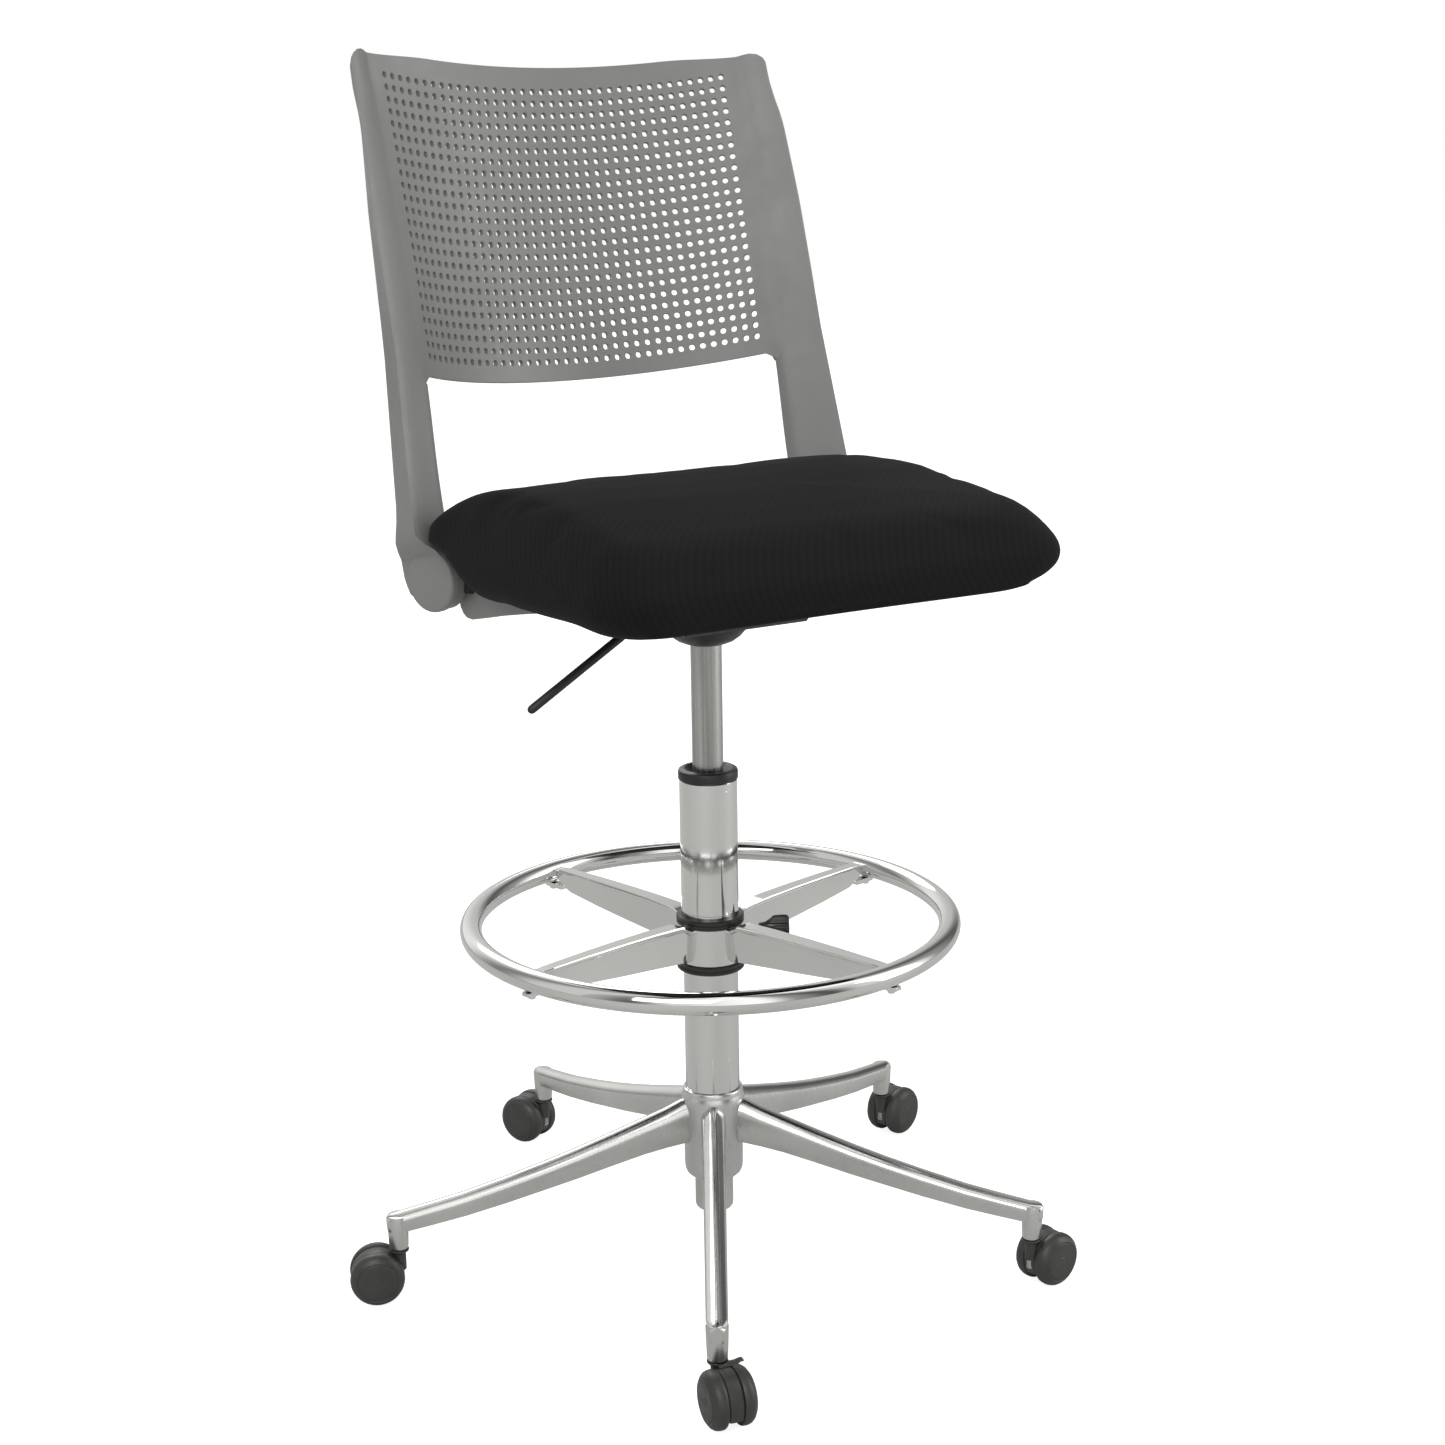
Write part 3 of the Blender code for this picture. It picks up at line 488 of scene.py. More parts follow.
def make_back(settings, looks):
    columns, rows = settings.hole_columns, settings.hole_rows
    top_v, low_v = -0.088, 1.070
    du, dv = 2.0 / (columns - 1), 1.0 / (rows - 1)
    half_u, half_v = du / 2, dv / 2
    thick = settings.panel_thickness
    bm = bmesh.new()
    weight = bm.edges.layers.float.new("bevel_weight_edge")
    cache = {}

    def vert(key, point):
        if key not in cache:
            cache[key] = bm.verts.new(point)
        return cache[key]

    def both(key, u, v, extra=0.0):
        low = Vector((0, 0, -extra))
        return (vert((key, 0), surface(u, v) + low), vert((key, 1), surface(u, v, thick) + low))

    def quad(a, b, c, d):
        """Front and rear quads over four (front, rear) pairs."""
        bm.faces.new((a[0], b[0], c[0], d[0]))
        bm.faces.new((d[1], c[1], b[1], a[1]))

    # round holes, each in its own cell of twelve outer points
    span = [(-1, -1), (-1 / 3, -1), (1 / 3, -1), (1, -1), (1, -1 / 3), (1, 1 / 3), (1, 1), (1 / 3, 1), (-1 / 3, 1),
            (-1, 1), (-1, 1 / 3), (-1, -1 / 3)]
    for i in range(columns):
        for j in range(rows):
            u0, v0 = -1.0 + du * i, dv * j
            ring, rim = [], []
            for a, b in span:
                key = ("g", round(6 * i + 3 * a), round(6 * j + 3 * b))
                ring.append(both(key, u0 + half_u * a, v0 + half_v * b))
                turn = math.atan2(b, a)
                size = settings.hole_size
                rim.append(both(("h", i, j, round(a * 3), round(b * 3)), u0 + half_u * size * math.cos(turn),
                                v0 + half_v * size * math.sin(turn)))
            for k in range(12):
                n = (k + 1) % 12
                quad(ring[k], ring[n], rim[n], rim[k])
                bm.faces.new((rim[k][0], rim[n][0], rim[n][1], rim[k][1]))

    # plain margins above and below the holes, on the cells' own columns of points
    for name, near, far, steps in (("t", -half_v, top_v, 3), ("b", 1 + half_v, low_v, 3)):
        line = 0 if name == "t" else 6 * rows - 6
        edge_key = -3 if name == "t" else 6 * rows - 3
        for c in range(3 * columns):
            for s in range(steps):
                pairs = []
                for cc, ss in ((c, s), (c + 1, s), (c + 1, s + 1), (c, s + 1)):
                    gx = 2 * cc - 3
                    u = -1.0 - half_u + du * cc / 3
                    v = near + (far - near) * ss / steps
                    extra = TOP_DIP * smooth((abs(u) * 176.0 - 120.0) / 90.0) * (ss / steps)
                    if name == "b":
                        reach = (EDGE_U - abs(u)) * 178.0
                        extra = max(0.0, 8.0 - math.sqrt(max(64.0 - max(8.0 - reach, 0.0) ** 2, 0.0))) * ss / steps
                    key = ("g", gx, edge_key) if ss == 0 else (name, cc, ss)
                    pairs.append(both(key, u, v, extra))
                quad(*pairs)

    # the strip between the holes and each upright, then the upright itself
    upper = [top_v + (-half_v - top_v) * s / 3 for s in range(4)]
    middle = [-half_v + dv * (k / 3) for k in range(3 * rows + 1)]
    lower = [1 + half_v + (low_v - 1 - half_v) * s / 3 for s in range(1, 4)]
    panel_v = upper[:-1] + middle + lower
    below = [1.105, 1.14, 1.18, 1.22, 1.28, 1.34, 1.40, 1.46, 1.52, 1.57, 1.61, 1.64, 1.67, 1.70, 1.73, 1.76, 1.79,
             1.82, 1.85, 1.88]
    for side in (-1, 1):
        lines = []
        for n, v in enumerate(panel_v + below):
            front, rear = upright_section(v)
            drops = corner_shift(v, front)
            line = []
            if n < len(panel_v):
                if n <= 2:
                    key = ("t", 0 if side < 0 else 3 * columns, 3 - n)
                elif n - 3 <= 3 * rows:
                    key = ("g", -3 if side < 0 else 6 * columns - 3, 2 * (n - 3) - 3)
                else:
                    key = ("b", 0 if side < 0 else 3 * columns, n - 3 - 3 * rows)
                line.append((cache[(key, 0)], cache[(key, 1)]))
                mid_u = (1 + half_u + EDGE_U) / 2
                extra = 0.0
                if v > 1 + half_v:
                    share = (v - 1 - half_v) / (low_v - 1 - half_v)
                    extra = 3.6 * share
                if n <= 2:
                    extra = TOP_DIP * smooth((mid_u * 176.0 - 120.0) / 90.0) * (3 - n) / 3
                line.append(both(("m", side, n), side * mid_u, v, extra))
            for k, (f, r, drop) in enumerate(zip(front, rear, drops)):
                extra = 8.0 if (k == 0 and n == len(panel_v) - 1) else 0.0
                low = Vector((0, 0, -drop - extra))
                flip = Vector((side, 1, 1))
                line.append((vert(("u", side, n, k, 0), (f + low) * flip), vert(("u", side, n, k, 1), (r + low) * flip)))
            lines.append(line)
        for n in range(len(lines) - 1):
            a, b = lines[n], lines[n + 1]
            if len(a) != len(b):
                a = a[2:]
            for k in range(len(a) - 1):
                quad(a[k], a[k + 1], b[k + 1], b[k])

    # close every open rim between front and rear, and mark it for rounding
    partner = {}
    for key, v in cache.items():
        partner[v] = cache[(key[0], 1 - key[1])] if isinstance(key[0], tuple) else cache[(*key[:-1], 1 - key[-1])]
    front_set = {v for key, v in cache.items() if key[-1] == 0}
    open_edges = [e for e in bm.edges if len(e.link_faces) == 1 and e.verts[0] in front_set and e.verts[1] in front_set]
    for e in open_edges:
        a, b = e.verts
        bm.faces.new((a, b, partner[b], partner[a]))
    bmesh.ops.recalc_face_normals(bm, faces=bm.faces)
    for e in bm.edges:
        if len(e.link_faces) != 2 or e.calc_face_angle(0.0) < math.radians(40):
            continue
        centre = (e.verts[0].co + e.verts[1].co) / 2
        both_front = (e.verts[0] in front_set) == (e.verts[1] in front_set)
        inside = all(partner.get(v) is not None for v in e.verts)
        hole = any(len([f for f in v.link_faces]) == 5 and abs(centre.x) < 183 for v in e.verts)
        if both_front and inside and not is_hole_edge(e, cache):
            e[weight] = 1.0 if abs(centre.x) > 205 else 0.3
    obj = finish_mesh("back_shell_skin", bm, looks["grey"], 38.0, recalc=False)
    mod = obj.modifiers.new("rims", 'BEVEL')
    mod.width = 4.0 * MM
    mod.segments = 3
    mod.limit_method = 'WEIGHT'
    mod.harden_normals = True
    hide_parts("back_shell")
    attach(obj, "back")


def is_hole_edge(edge, cache):
    """True for the rim of a perforation: both ends keyed as hole points."""
    if not hasattr(is_hole_edge, "rims") or is_hole_edge.source is not cache:
        is_hole_edge.rims = {v for key, v in cache.items() if isinstance(key[0], tuple) and key[0][0] == "h"}
        is_hole_edge.source = cache
    return edge.verts[0] in is_hole_edge.rims and edge.verts[1] in is_hole_edge.rims


# ---- the seat -----------------------------------------------------------
def cushion_outline(share):
    """Point of the cushion's widest line, from its centre, share of the way round: a rounded rectangle."""
    half_x, half_y, radius = 227.0, 181.0, 45.0
    sides = (half_y - radius, half_x - radius)
    arc = radius * math.pi / 2
    total = 4 * (sum(sides) + arc)
    run = share * total
    corners = ((1, 1), (-1, 1), (-1, -1), (1, -1))
    run += sides[0]
    for k, (cx, cy) in enumerate(corners):
        flat = 2 * sides[k % 2]
        if run > flat + arc:
            run -= flat + arc
            continue
        centre = Vector((cx * (half_x - radius), cy * (half_y - radius)))
        start = math.radians(90 * k)
        if run > flat:
            turn = start + (run - flat) / radius
            point = centre + Vector((math.cos(turn), math.sin(turn))) * radius
        else:
            along = Vector((-math.sin(start), math.cos(start)))
            point = centre + Vector((math.cos(start), math.sin(start))) * radius - along * (flat - run)
        break
    else:
        point = Vector((half_x, 0.0))
    x, y = point
    return x + 7.0 * x / half_x * (1 - (y / half_y) ** 2 * 0.6), y + 4.5 * y / half_y * (1 - (x / half_x) ** 2)


def cushion_top(x, y):
    crest = ramp(y, (-240, 690), (-215, 700), (-190, 709), (-142, 718), (-86, 726), (-28, 729), (25, 728), (81, 723),
                 (122, 716))
    sag = 6.0 * smooth((y - 10) / 90) * smooth((-x - 60) / 120)
    return crest - sag - 3.5 * math.exp(-((x / 120) ** 2 + ((y + 20) / 110) ** 2))


def cushion_bottom(x, y):
    rise = 7.0 * smooth((x - 150) / 60) * smooth((-y - 100) / 80)
    return 642.6 + rise + 35.0 * smooth((y - 12) / 55) * smooth((abs(x) - 135) / 35)


def make_cushion(settings, looks):
    steps = 112
    mid_y = -60.5
    rings = []

    def ring(share, upper):
        row = []
        for i in range(steps):
            ox, oy = cushion_outline(i / steps)
            x, y = ox * share, mid_y + oy * share
            gap = (1.0 - share) * math.hypot(ox, oy)
            widest = 668.0 + 20.0 * smooth((y - 20) / 90) + 3.0 * smooth((-y - 180) / 50)
            fillet = 50.0 if upper else 30.0
            q = min(gap / fillet, 1.0)
            lift = math.sqrt(1.0 - (1.0 - q) ** 2)
            z = widest + ((cushion_top(x, y) if upper else cushion_bottom(x, y)) - widest) * lift
            row.append(Vector((x, y, z)))
        return row

    shares = [0.08, 0.2, 0.33, 0.46, 0.58, 0.68, 0.76, 0.82, 0.87, 0.91, 0.94, 0.965, 0.983, 0.994]
    rows = [ring(s, False) for s in shares] + [ring(1.0, True)] + [ring(s, True) for s in reversed(shares)]
    obj = finish_mesh("seat_cushion_cover", skin(rows), looks["fabric"], sharp=0)
    fill_cushion(obj, settings.cushion_swell)
    sub = obj.modifiers.new("smooth", 'SUBSURF')
    sub.levels = sub.render_levels = 1
    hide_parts("seat_cushion")
    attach(obj, "seat")


def fill_cushion(obj, swell):
    """Lets the filling push the cover out by simulation, at most swell mm, and keeps the result."""
    scene = bpy.context.scene
    bpy.context.view_layer.objects.active = obj
    remesh = obj.modifiers.new("remesh", 'REMESH')
    remesh.mode = 'VOXEL'
    remesh.voxel_size = 0.006
    bpy.ops.object.modifier_apply(modifier=remesh.name)
    before = [v.co.copy() for v in obj.data.vertices]
    cloth = obj.modifiers.new("filling", 'CLOTH')
    cloth.settings.use_pressure = True
    cloth.settings.uniform_pressure_force = 4.0
    cloth.settings.quality = 4
    cloth.settings.effector_weights.gravity = 0.0
    cloth.settings.tension_stiffness = 40.0
    cloth.settings.compression_stiffness = 40.0
    for frame in range(1, 21):
        scene.frame_set(frame)
    swollen = obj.evaluated_get(bpy.context.evaluated_depsgraph_get()).data
    moved = [v.co.copy() for v in swollen.vertices]
    obj.modifiers.remove(cloth)
    scene.frame_set(1)
    limit = swell * MM
    floor = 0.6421
    for vertex, old, new in zip(obj.data.vertices, before, moved):
        push = new - old
        if push.length > limit:
            push = push.normalized() * limit
        flat = old.z < 0.648 and abs(old.x - COLUMN.x) < 0.19
        vertex.co = old + (Vector((0, 0, 0)) if flat else push)
        vertex.co.z = max(vertex.co.z, floor)
    obj.data.shade_smooth()


# ---- base and casters ---------------------------------------------------
def leg_ring(reach, half, low, high, along, across):
    """Closed section of a leg: drafted flanks, soft shoulders and a raised rounded ridge."""
    shape = [(-0.80, 0.0), (-0.70, -0.04), (0.70, -0.04), (0.80, 0.0), (0.93, 0.30), (1.0, 0.60), (0.98, 0.70),
             (0.88, 0.80), (0.66, 0.88), (0.50, 0.93), (0.30, 0.985), (0.0, 1.0), (-0.30, 0.985), (-0.50, 0.93),
             (-0.66, 0.88), (-0.88, 0.80), (-0.98, 0.70), (-1.0, 0.60), (-0.93, 0.30)]
    return [along * reach + across * (half * a) + Vector((0, 0, low + (high - low) * b)) for a, b in shape]


def make_star_base(looks):
    bm = turned([(19.0, 75.2), (20.0, 74.5), (22.0, 74.8), (25.4, 78.0), (26.8, 81.5), (27.2, 86.0), (27.3, 106.0),
                 (28.2, 114.0), (29.2, 122.0), (29.4, 151.0), (28.9, 154.5), (28.2, 156.5), (27.9, 158.0),
                 (27.8, 160.5), (27.2, 161.8), (26.0, 162.2), (25.3, 161.8), (25.3, 83.5), (19.0, 83.5)], 96)
    stations = [(20, 11.4, 113.5, 154), (32, 11.3, 112.5, 151.5), (48, 11.0, 110.5, 145), (70, 10.7, 107, 138),
                (100, 10.4, 100.5, 128.5), (135, 10.1, 92.5, 118), (165, 9.9, 86.4, 109.8), (200, 9.7, 79.4, 101.3),
                (240, 9.5, 72.5, 92.5), (270, 9.4, 68.8, 87.6), (290, 9.3, 66.6, 84.6), (299, 9.0, 66.0, 83.2),
                (304.5, 8.2, 66.2, 82.4), (308, 6.6, 66.8, 81.4), (309.6, 4.4, 67.6, 80.2)]
    for k in range(5):
        direction = FIRST_LEG + 72.0 * k
        along, across = heading(direction), heading(direction + 90)
        merge(bm, skin([leg_ring(*row, along, across) for row in stations]))
        socket = [(5.4, 48.4)] + [(7.4, 48.4), (8.3, 49.2), (8.7, 50.6), (9.2, 64.0), (9.6, 78.0), (9.0, 80.5), (0.0, 80.8)]
        socket = [(0.0, 60.0), (5.4, 60.0)] + socket
        merge(bm, aimed(turned(socket, 40), along * 300.0, (0, 0, 1)))
    obj = finish_mesh("star_base_skin", bm, looks["aluminium"], 32.0)
    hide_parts("star_base")
    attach(obj, "base")


def hood_outline(radius, centre_y=0.0):
    """Side view of a caster housing about its axle, x along the rolling direction."""
    points = []
    for d in range(-30, 211, 10):
        a = math.radians(d)
        points.append((radius * math.cos(a), radius * math.sin(a)))
    points += [(-16.5, -12.6), (-11.0, -9.0), (-2.0, -7.6), (8.0, -9.2), (15.0, -12.2)]
    return points


def make_caster(index, looks):
    tag = index + 1
    foot = heading(FIRST_LEG + 72.0 * index) * 300.0
    roll, axle = heading(TRAIL_DIR[index]), heading(TRAIL_DIR[index] + 90)
    hub = foot + roll * TRAIL + Vector((0, 0, WHEEL_R))
    rows = []
    for x, scale in ((-6.2, 0.955), (-5.4, 0.99), (-3.0, 1.0), (3.0, 1.0), (5.4, 0.99), (6.2, 0.955)):
        rows.append([hub + axle * x + (roll * px + Vector((0, 0, pz))) * scale for px, pz in hood_outline(23.5)])
    bm = skin(rows)
    merge(bm, aimed(turned([(0, 28), (6.0, 28), (6.0, 44.2), (7.2, 45.4), (8.6, 45.9), (8.9, 46.4), (8.9, 47.5),
                            (8.5, 47.9), (0, 47.9)], 40), foot, (0, 0, 1)))
    if index == 0:
        side = roll
        tab = [[foot + axle * x + side * y * (1.0 if x < 17 else 0.7) + Vector((0, 0, z))
                for y, z in ((4.0, 46.5), (12.5, 46.5), (12.5, 47.2), (11.5, 47.9), (5.0, 47.9), (4.0, 47.2))]
               for x in (-3.0, 12.0, 17.0, 19.6)]
        merge(bm, skin(tab))
    hood = finish_mesh(f"caster_hood_skin_{tag}", bm, looks["nylon"], 40.0)
    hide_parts(f"caster_hood_{tag}")
    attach(hood, f"caster_{tag}")

    inner, outer = 6.8, 19.9
    face = [(0.0, outer - 0.3), (3.4, outer - 0.3), (3.9, outer - 0.6), (15.9, outer), (16.9, outer - 0.2),
            (17.5, outer - 0.8), (18.1, outer - 0.9), (18.7, outer - 0.6), (19.8, outer - 1.3), (22.1, outer - 2.9),
            (23.6, outer - 4.9), (24.3, outer - 7.1), (24.5, outer - 9.1), (24.3, inner + 1.4), (23.7, inner + 0.4),
            (22.9, inner), (5.6, inner), (0.0, inner)]
    wheels = bmesh.new()
    for sign in (1, -1):
        merge(wheels, aimed(turned(face, 64), hub, axle * sign))
    obj = finish_mesh(f"caster_wheels_skin_{tag}", wheels, looks["nylon"], 28.0)
    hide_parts(f"caster_wheels_{tag}")
    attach(obj, f"wheels_{tag}")


# ---- column and ring ----------------------------------------------------
def place_turned(name, profile, material, node, body, segments=96, sharp=30.0, edge=None):
    obj = finish_mesh(name, turned(profile, segments), material, sharp)
    if edge:
        bevelled(obj, edge)
    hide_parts(node)
    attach(obj, body)
    return obj


def make_column(looks):
    place_turned("column_tube_skin", [(6.5, 84), (24.4, 84), (25.0, 84.6), (25.0, 456.6), (23.2, 456.6), (23.2, 90),
                                      (6.5, 90)], looks["chrome"], "column_tube", "base")
    place_turned("column_sleeve_skin", [(25.25, 334), (25.9, 334), (26.2, 334.4), (26.2, 456.4), (25.9, 456.8),
                                        (25.25, 456.8)], looks["chrome"], "column_sleeve", "base")
    collar = [(14.3, 405), (22.9, 405), (22.9, 457.4), (26.3, 457.4), (27.0, 458.0), (27.1, 464.2), (26.4, 466.0),
              (24.6, 467.0), (21.5, 467.2), (19.0, 465.6), (16.6, 463.4), (14.9, 462.4), (14.3, 461.6)]
    place_turned("guide_bush_skin", collar, looks["black"], "guide_bush", "base")
    place_turned("gas_cylinder_skin", [(3.4, 608), (12.4, 608), (13.0, 607.4), (14.0, 588), (14.0, 256), (13.4, 255),
                                       (11.6, 255), (11.6, 578), (3.4, 578)], looks["steel"], "gas_cylinder", "seat")
    place_turned("column_end_plug_skin", [(0, 41), (14.8, 41), (16.4, 41.7), (17.5, 43.4), (17.8, 45.5), (17.8, 77),
                                          (0, 77)], looks["aluminium"], "column_end_plug", "base")


def make_foot_ring(looks):
    section = [(217.5 + 9.9 * math.cos(math.tau * i / 28), 324 + 9.9 * math.sin(math.tau * i / 28)) for i in range(28)]
    ring = finish_mesh("ring_tube_skin", turned(section, 160), looks["chrome"], 60.0)
    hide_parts("ring_tube")
    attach(ring, "foot_ring")

    bm = turned([(26.6, 287.4), (28.4, 287), (29.0, 287.6), (29.0, 321.4), (28.4, 322), (26.6, 321.6)], 80)
    for k in range(4):
        direction = FIRST_SPOKE + 90 * k
        along, across = heading(direction), heading(direction + 90)
        rows = []
        for r, w, low, high in ((27.5, 7.6, 290, 320), (32, 7.8, 290.5, 321.5), (36, 7.8, 291, 325.5), (42, 7.7, 292, 328),
                                (75, 7.2, 295.5, 329.3), (110, 6.8, 299, 330), (150, 6.2, 303.5, 330.3),
                                (188, 5.8, 308.8, 330), (199, 5.7, 313.5, 329.8), (207.4, 5.6, 320, 329.5)):
            shape = [(-0.50, 0.015), (-0.40, 0.0), (0.40, 0.0), (0.50, 0.015), (0.55, 0.80), (0.60, 0.845), (0.94, 0.86),
                     (1.0, 0.875), (1.0, 0.975), (0.94, 1.0), (-0.94, 1.0), (-1.0, 0.975), (-1.0, 0.875),
                     (-0.94, 0.86), (-0.60, 0.845), (-0.55, 0.80)]
            rows.append([along * r + across * (w * a) + Vector((0, 0, low + (high - low) * b)) for a, b in shape])
        merge(bm, skin(rows))
        lug = []
        for r, w, low, high in ((197, 3.4, 310.6, 313.2), (199, 4.6, 309.6, 313.7), (221, 4.6, 309.6, 313.7),
                                (224, 3.4, 310.6, 313.2)):
            lug.append([along * r + across * a * w + Vector((0, 0, z)) for a, z in
                        ((-1, low), (1, low), (1, high), (-1, high))])
        merge(bm, skin(lug))
        merge(bm, aimed(turned(drum(3.4, 306.8, 310.0, 0.9), 24), along * 216.0, (0, 0, 1)))
    spider = finish_mesh("ring_spider_skin", bm, looks["chrome"], 30.0)
    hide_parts("ring_spider")
    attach(spider, "foot_ring")

    for name, low, high in (("upper", 322.3, 330.5), ("lower", 279.0, 286.7)):
        step = low + 0.5 * (high - low)
        profile = [(25.3, low), (29.8, low), (30.8, low + 0.8), (30.9, step - 0.5), (30.2, step - 0.3),
                   (30.2, step + 0.3), (30.9, step + 0.5), (30.8, high - 0.8), (29.8, high), (25.3, high)]
        place_turned(f"ring_bush_{name}_skin", profile, looks["black"], f"ring_bush_{name}", "ring_slider",
                     72)

    out = heading(-32.0)
    lobes, sides = 5, 100
    rows = []
    for depth, scale, wave in ((44, 0.52, 0.0), (45, 0.60, 0.0), (50, 0.66, 0.1), (55, 0.86, 0.7), (57, 0.98, 1.0),
                               (59, 1.03, 1.0), (67, 1.05, 1.0), (70, 1.02, 1.0), (71.5, 0.93, 0.95),
                               (72, 0.80, 0.9)):
        row = []
        for i in range(sides):
            a = math.tau * i / sides
            r = (9.6 + 2.6 * wave * math.cos(lobes * a)) * scale
            row.append(Vector((r * math.cos(a), r * math.sin(a), depth)))
        rows.append(row)
    knob = finish_mesh("clamp_knob_skin", aimed(skin(rows), (0, 0, 314), out), looks["black"], 32.0)
    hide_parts("clamp_knob")
    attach(knob, "knob")


# ---- mechanism, lever and hinges ---------------------------------------
def make_mechanism(looks):
    dome = [(14.4, 582.6), (15.0, 581.4), (17.0, 581.0), (19.5, 581.8), (25.5, 584.2), (31.5, 588.6), (36.5, 594.4),
            (39.6, 599.6), (41.0, 603.4), (39.8, 603.4), (36.0, 597), (30.5, 590.6), (24, 586.2), (16.0, 583.8)]
    place_turned("mechanism_cover_skin", dome, looks["black"], "mechanism_cover", "seat", 72)
    path = [(3, 0, 621), (-24, 0, 621), (-46, 0, 621), (-54, -2, 620), (-62, -5, 618), (-71, -9, 614.5),
            (-80, -12.5, 609.5), (-97, -16, 600), (-118, -16, 587.8), (-140, -16, 575), (-184, -16, 549.3)]
    lever = finish_mesh("release_lever_skin", tube(path, 3.9, 20), looks["black"], 50.0)
    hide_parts("release_lever")
    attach(lever, "lever")


def arm_outline():
    points = []
    for d in range(100, -61, -10):
        a = math.radians(d)
        points.append((PIVOT.y + 15.0 * math.cos(a), PIVOT.z + 15.0 * math.sin(a)))
    points += [(119, 616), (114, 610.5), (107, 607.8), (98, 607.6), (70, 613.4), (40, 620), (5, 626.8), (-30, 633.2),
               (-74, 637.2), (-75, 641), (0, 641.0), (50, 641.6), (72, 649), (84, 656.5), (98, 660)]
    return points


def make_hinges(looks):
    for side, name in ((-1, "left"), (1, "right")):
        rows = []
        for x, inset in ((170.2, 0.4), (171.0, 0.0), (180.0, 0.0), (181.4, 0.7)):
            centre_y, centre_z = 40.0, 630.0
            rows.append([Vector((side * x, y + (centre_y - y) * inset * 0.01, z + (centre_z - z) * inset * 0.04))
                         for y, z in arm_outline()])
        arm = bevelled(finish_mesh(f"hinge_arm_{name}_skin", skin(rows), looks["grey"], 40.0), 0.8, 2)
        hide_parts(f"hinge_arm_{name}")
        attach(arm, "seat")

        outward = Vector((side * math.cos(CAP_TURN), -math.sin(CAP_TURN), 0.0))
        centre = Vector((side * 212.0, PIVOT.y, PIVOT.z))
        cap = [(0.0, -9.0), (27.4, -9.0), (28.0, -8.4), (28.1, -3.0), (27.7, -1.5), (26.9, -0.5), (25.6, 0.0),
               (20.0, 0.6), (10.0, 1.1), (0.0, 1.3)]
        obj = finish_mesh(f"hinge_cap_{name}_skin", aimed(turned(cap, 96), centre, outward), looks["grey"], 40.0)
        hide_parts(f"hinge_cap_{name}")
        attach(obj, "back")
        drum_bm = aimed(turned(drum(27.0, -20.0, -9.3, 1.0), 96), centre, outward)
        hub = finish_mesh(f"hinge_drum_{name}_skin", drum_bm, looks["grey"], 40.0)
        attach(hub, "back")


def make_hinge_slot_shades(looks):
    """Black blocks between the arms and the hinge covers: painted shade standing in for the dark gap there."""
    for side, name in ((-1, "left"), (1, "right")):
        bm = bmesh.new()
        bmesh.ops.create_cube(bm, size=1.0)
        bmesh.ops.scale(bm, vec=(6.0, 12.0, 19.0), verts=bm.verts)
        bmesh.ops.translate(bm, vec=(side * 185.2, 94.0, 642.0), verts=bm.verts)
        # painted shade: a black box set where the gap beside the hinge cap lies in shadow
        slot_shade = bevelled(finish_mesh(f"hinge_slot_shade_{name}", bm, looks["black"], 40.0), 0.8, 2)
        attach(slot_shade, "seat")


# ---- everything that stays as in the frame --------------------------------
KEPT = {
    "bright": ("piston_rod", "thrust_race_lower", "thrust_race_upper", "rod_clip", "clamp_screw", "release_pin",
               "lever_pivot_pin", "hinge_pin_left", "hinge_pin_right", "hinge_spring_left", "hinge_spring_right",
               "seat_bolt_left", "seat_bolt_right", "caster_pin_1", "caster_pin_2", "caster_pin_3", "caster_pin_4",
               "caster_pin_5", "caster_axle_1", "caster_axle_2", "caster_axle_3", "caster_axle_4", "caster_axle_5"),
    "chrome": ("sleeve_pin",),
    # seat_pan is grey plastic but takes the black look here: painted shade under the cushion
    "black": ("piston", "thrust_cage", "rod_buffer", "rod_guide", "mechanism_block", "seat_pan"),
}


def paint_kept(frame_nodes, looks):
    for look, names in KEPT.items():
        for name in names:
            slots = frame_nodes[name].data.materials
            slots.clear()
            slots.append(looks[look])


# ---- stage --------------------------------------------------------------
def area_light(name, where, aim, size, power, tint=(1.0, 1.0, 1.0)):
    light = bpy.data.lights.new(name, 'AREA')
    light.shape = 'RECTANGLE'
    light.size, light.size_y = size
    light.energy = power
    light.color = tint
    obj = bpy.data.objects.new(name, light)
    obj.location = where
    obj.rotation_euler = (Vector(aim) - Vector(where)).to_track_quat('-Z', 'Y').to_euler()
    bpy.context.scene.collection.objects.link(obj)
    return obj


def light_split(nodes, links, seen, other):
    """Mixes two shaders: the first for what the camera sees directly, the second for all other rays."""
    path = nodes.new("ShaderNodeLightPath")
    mix = nodes.new("ShaderNodeMixShader")
    links.new(path.outputs["Is Camera Ray"], mix.inputs[0])
    links.new(other, mix.inputs[1])
    links.new(seen, mix.inputs[2])
    return mix.outputs[0]


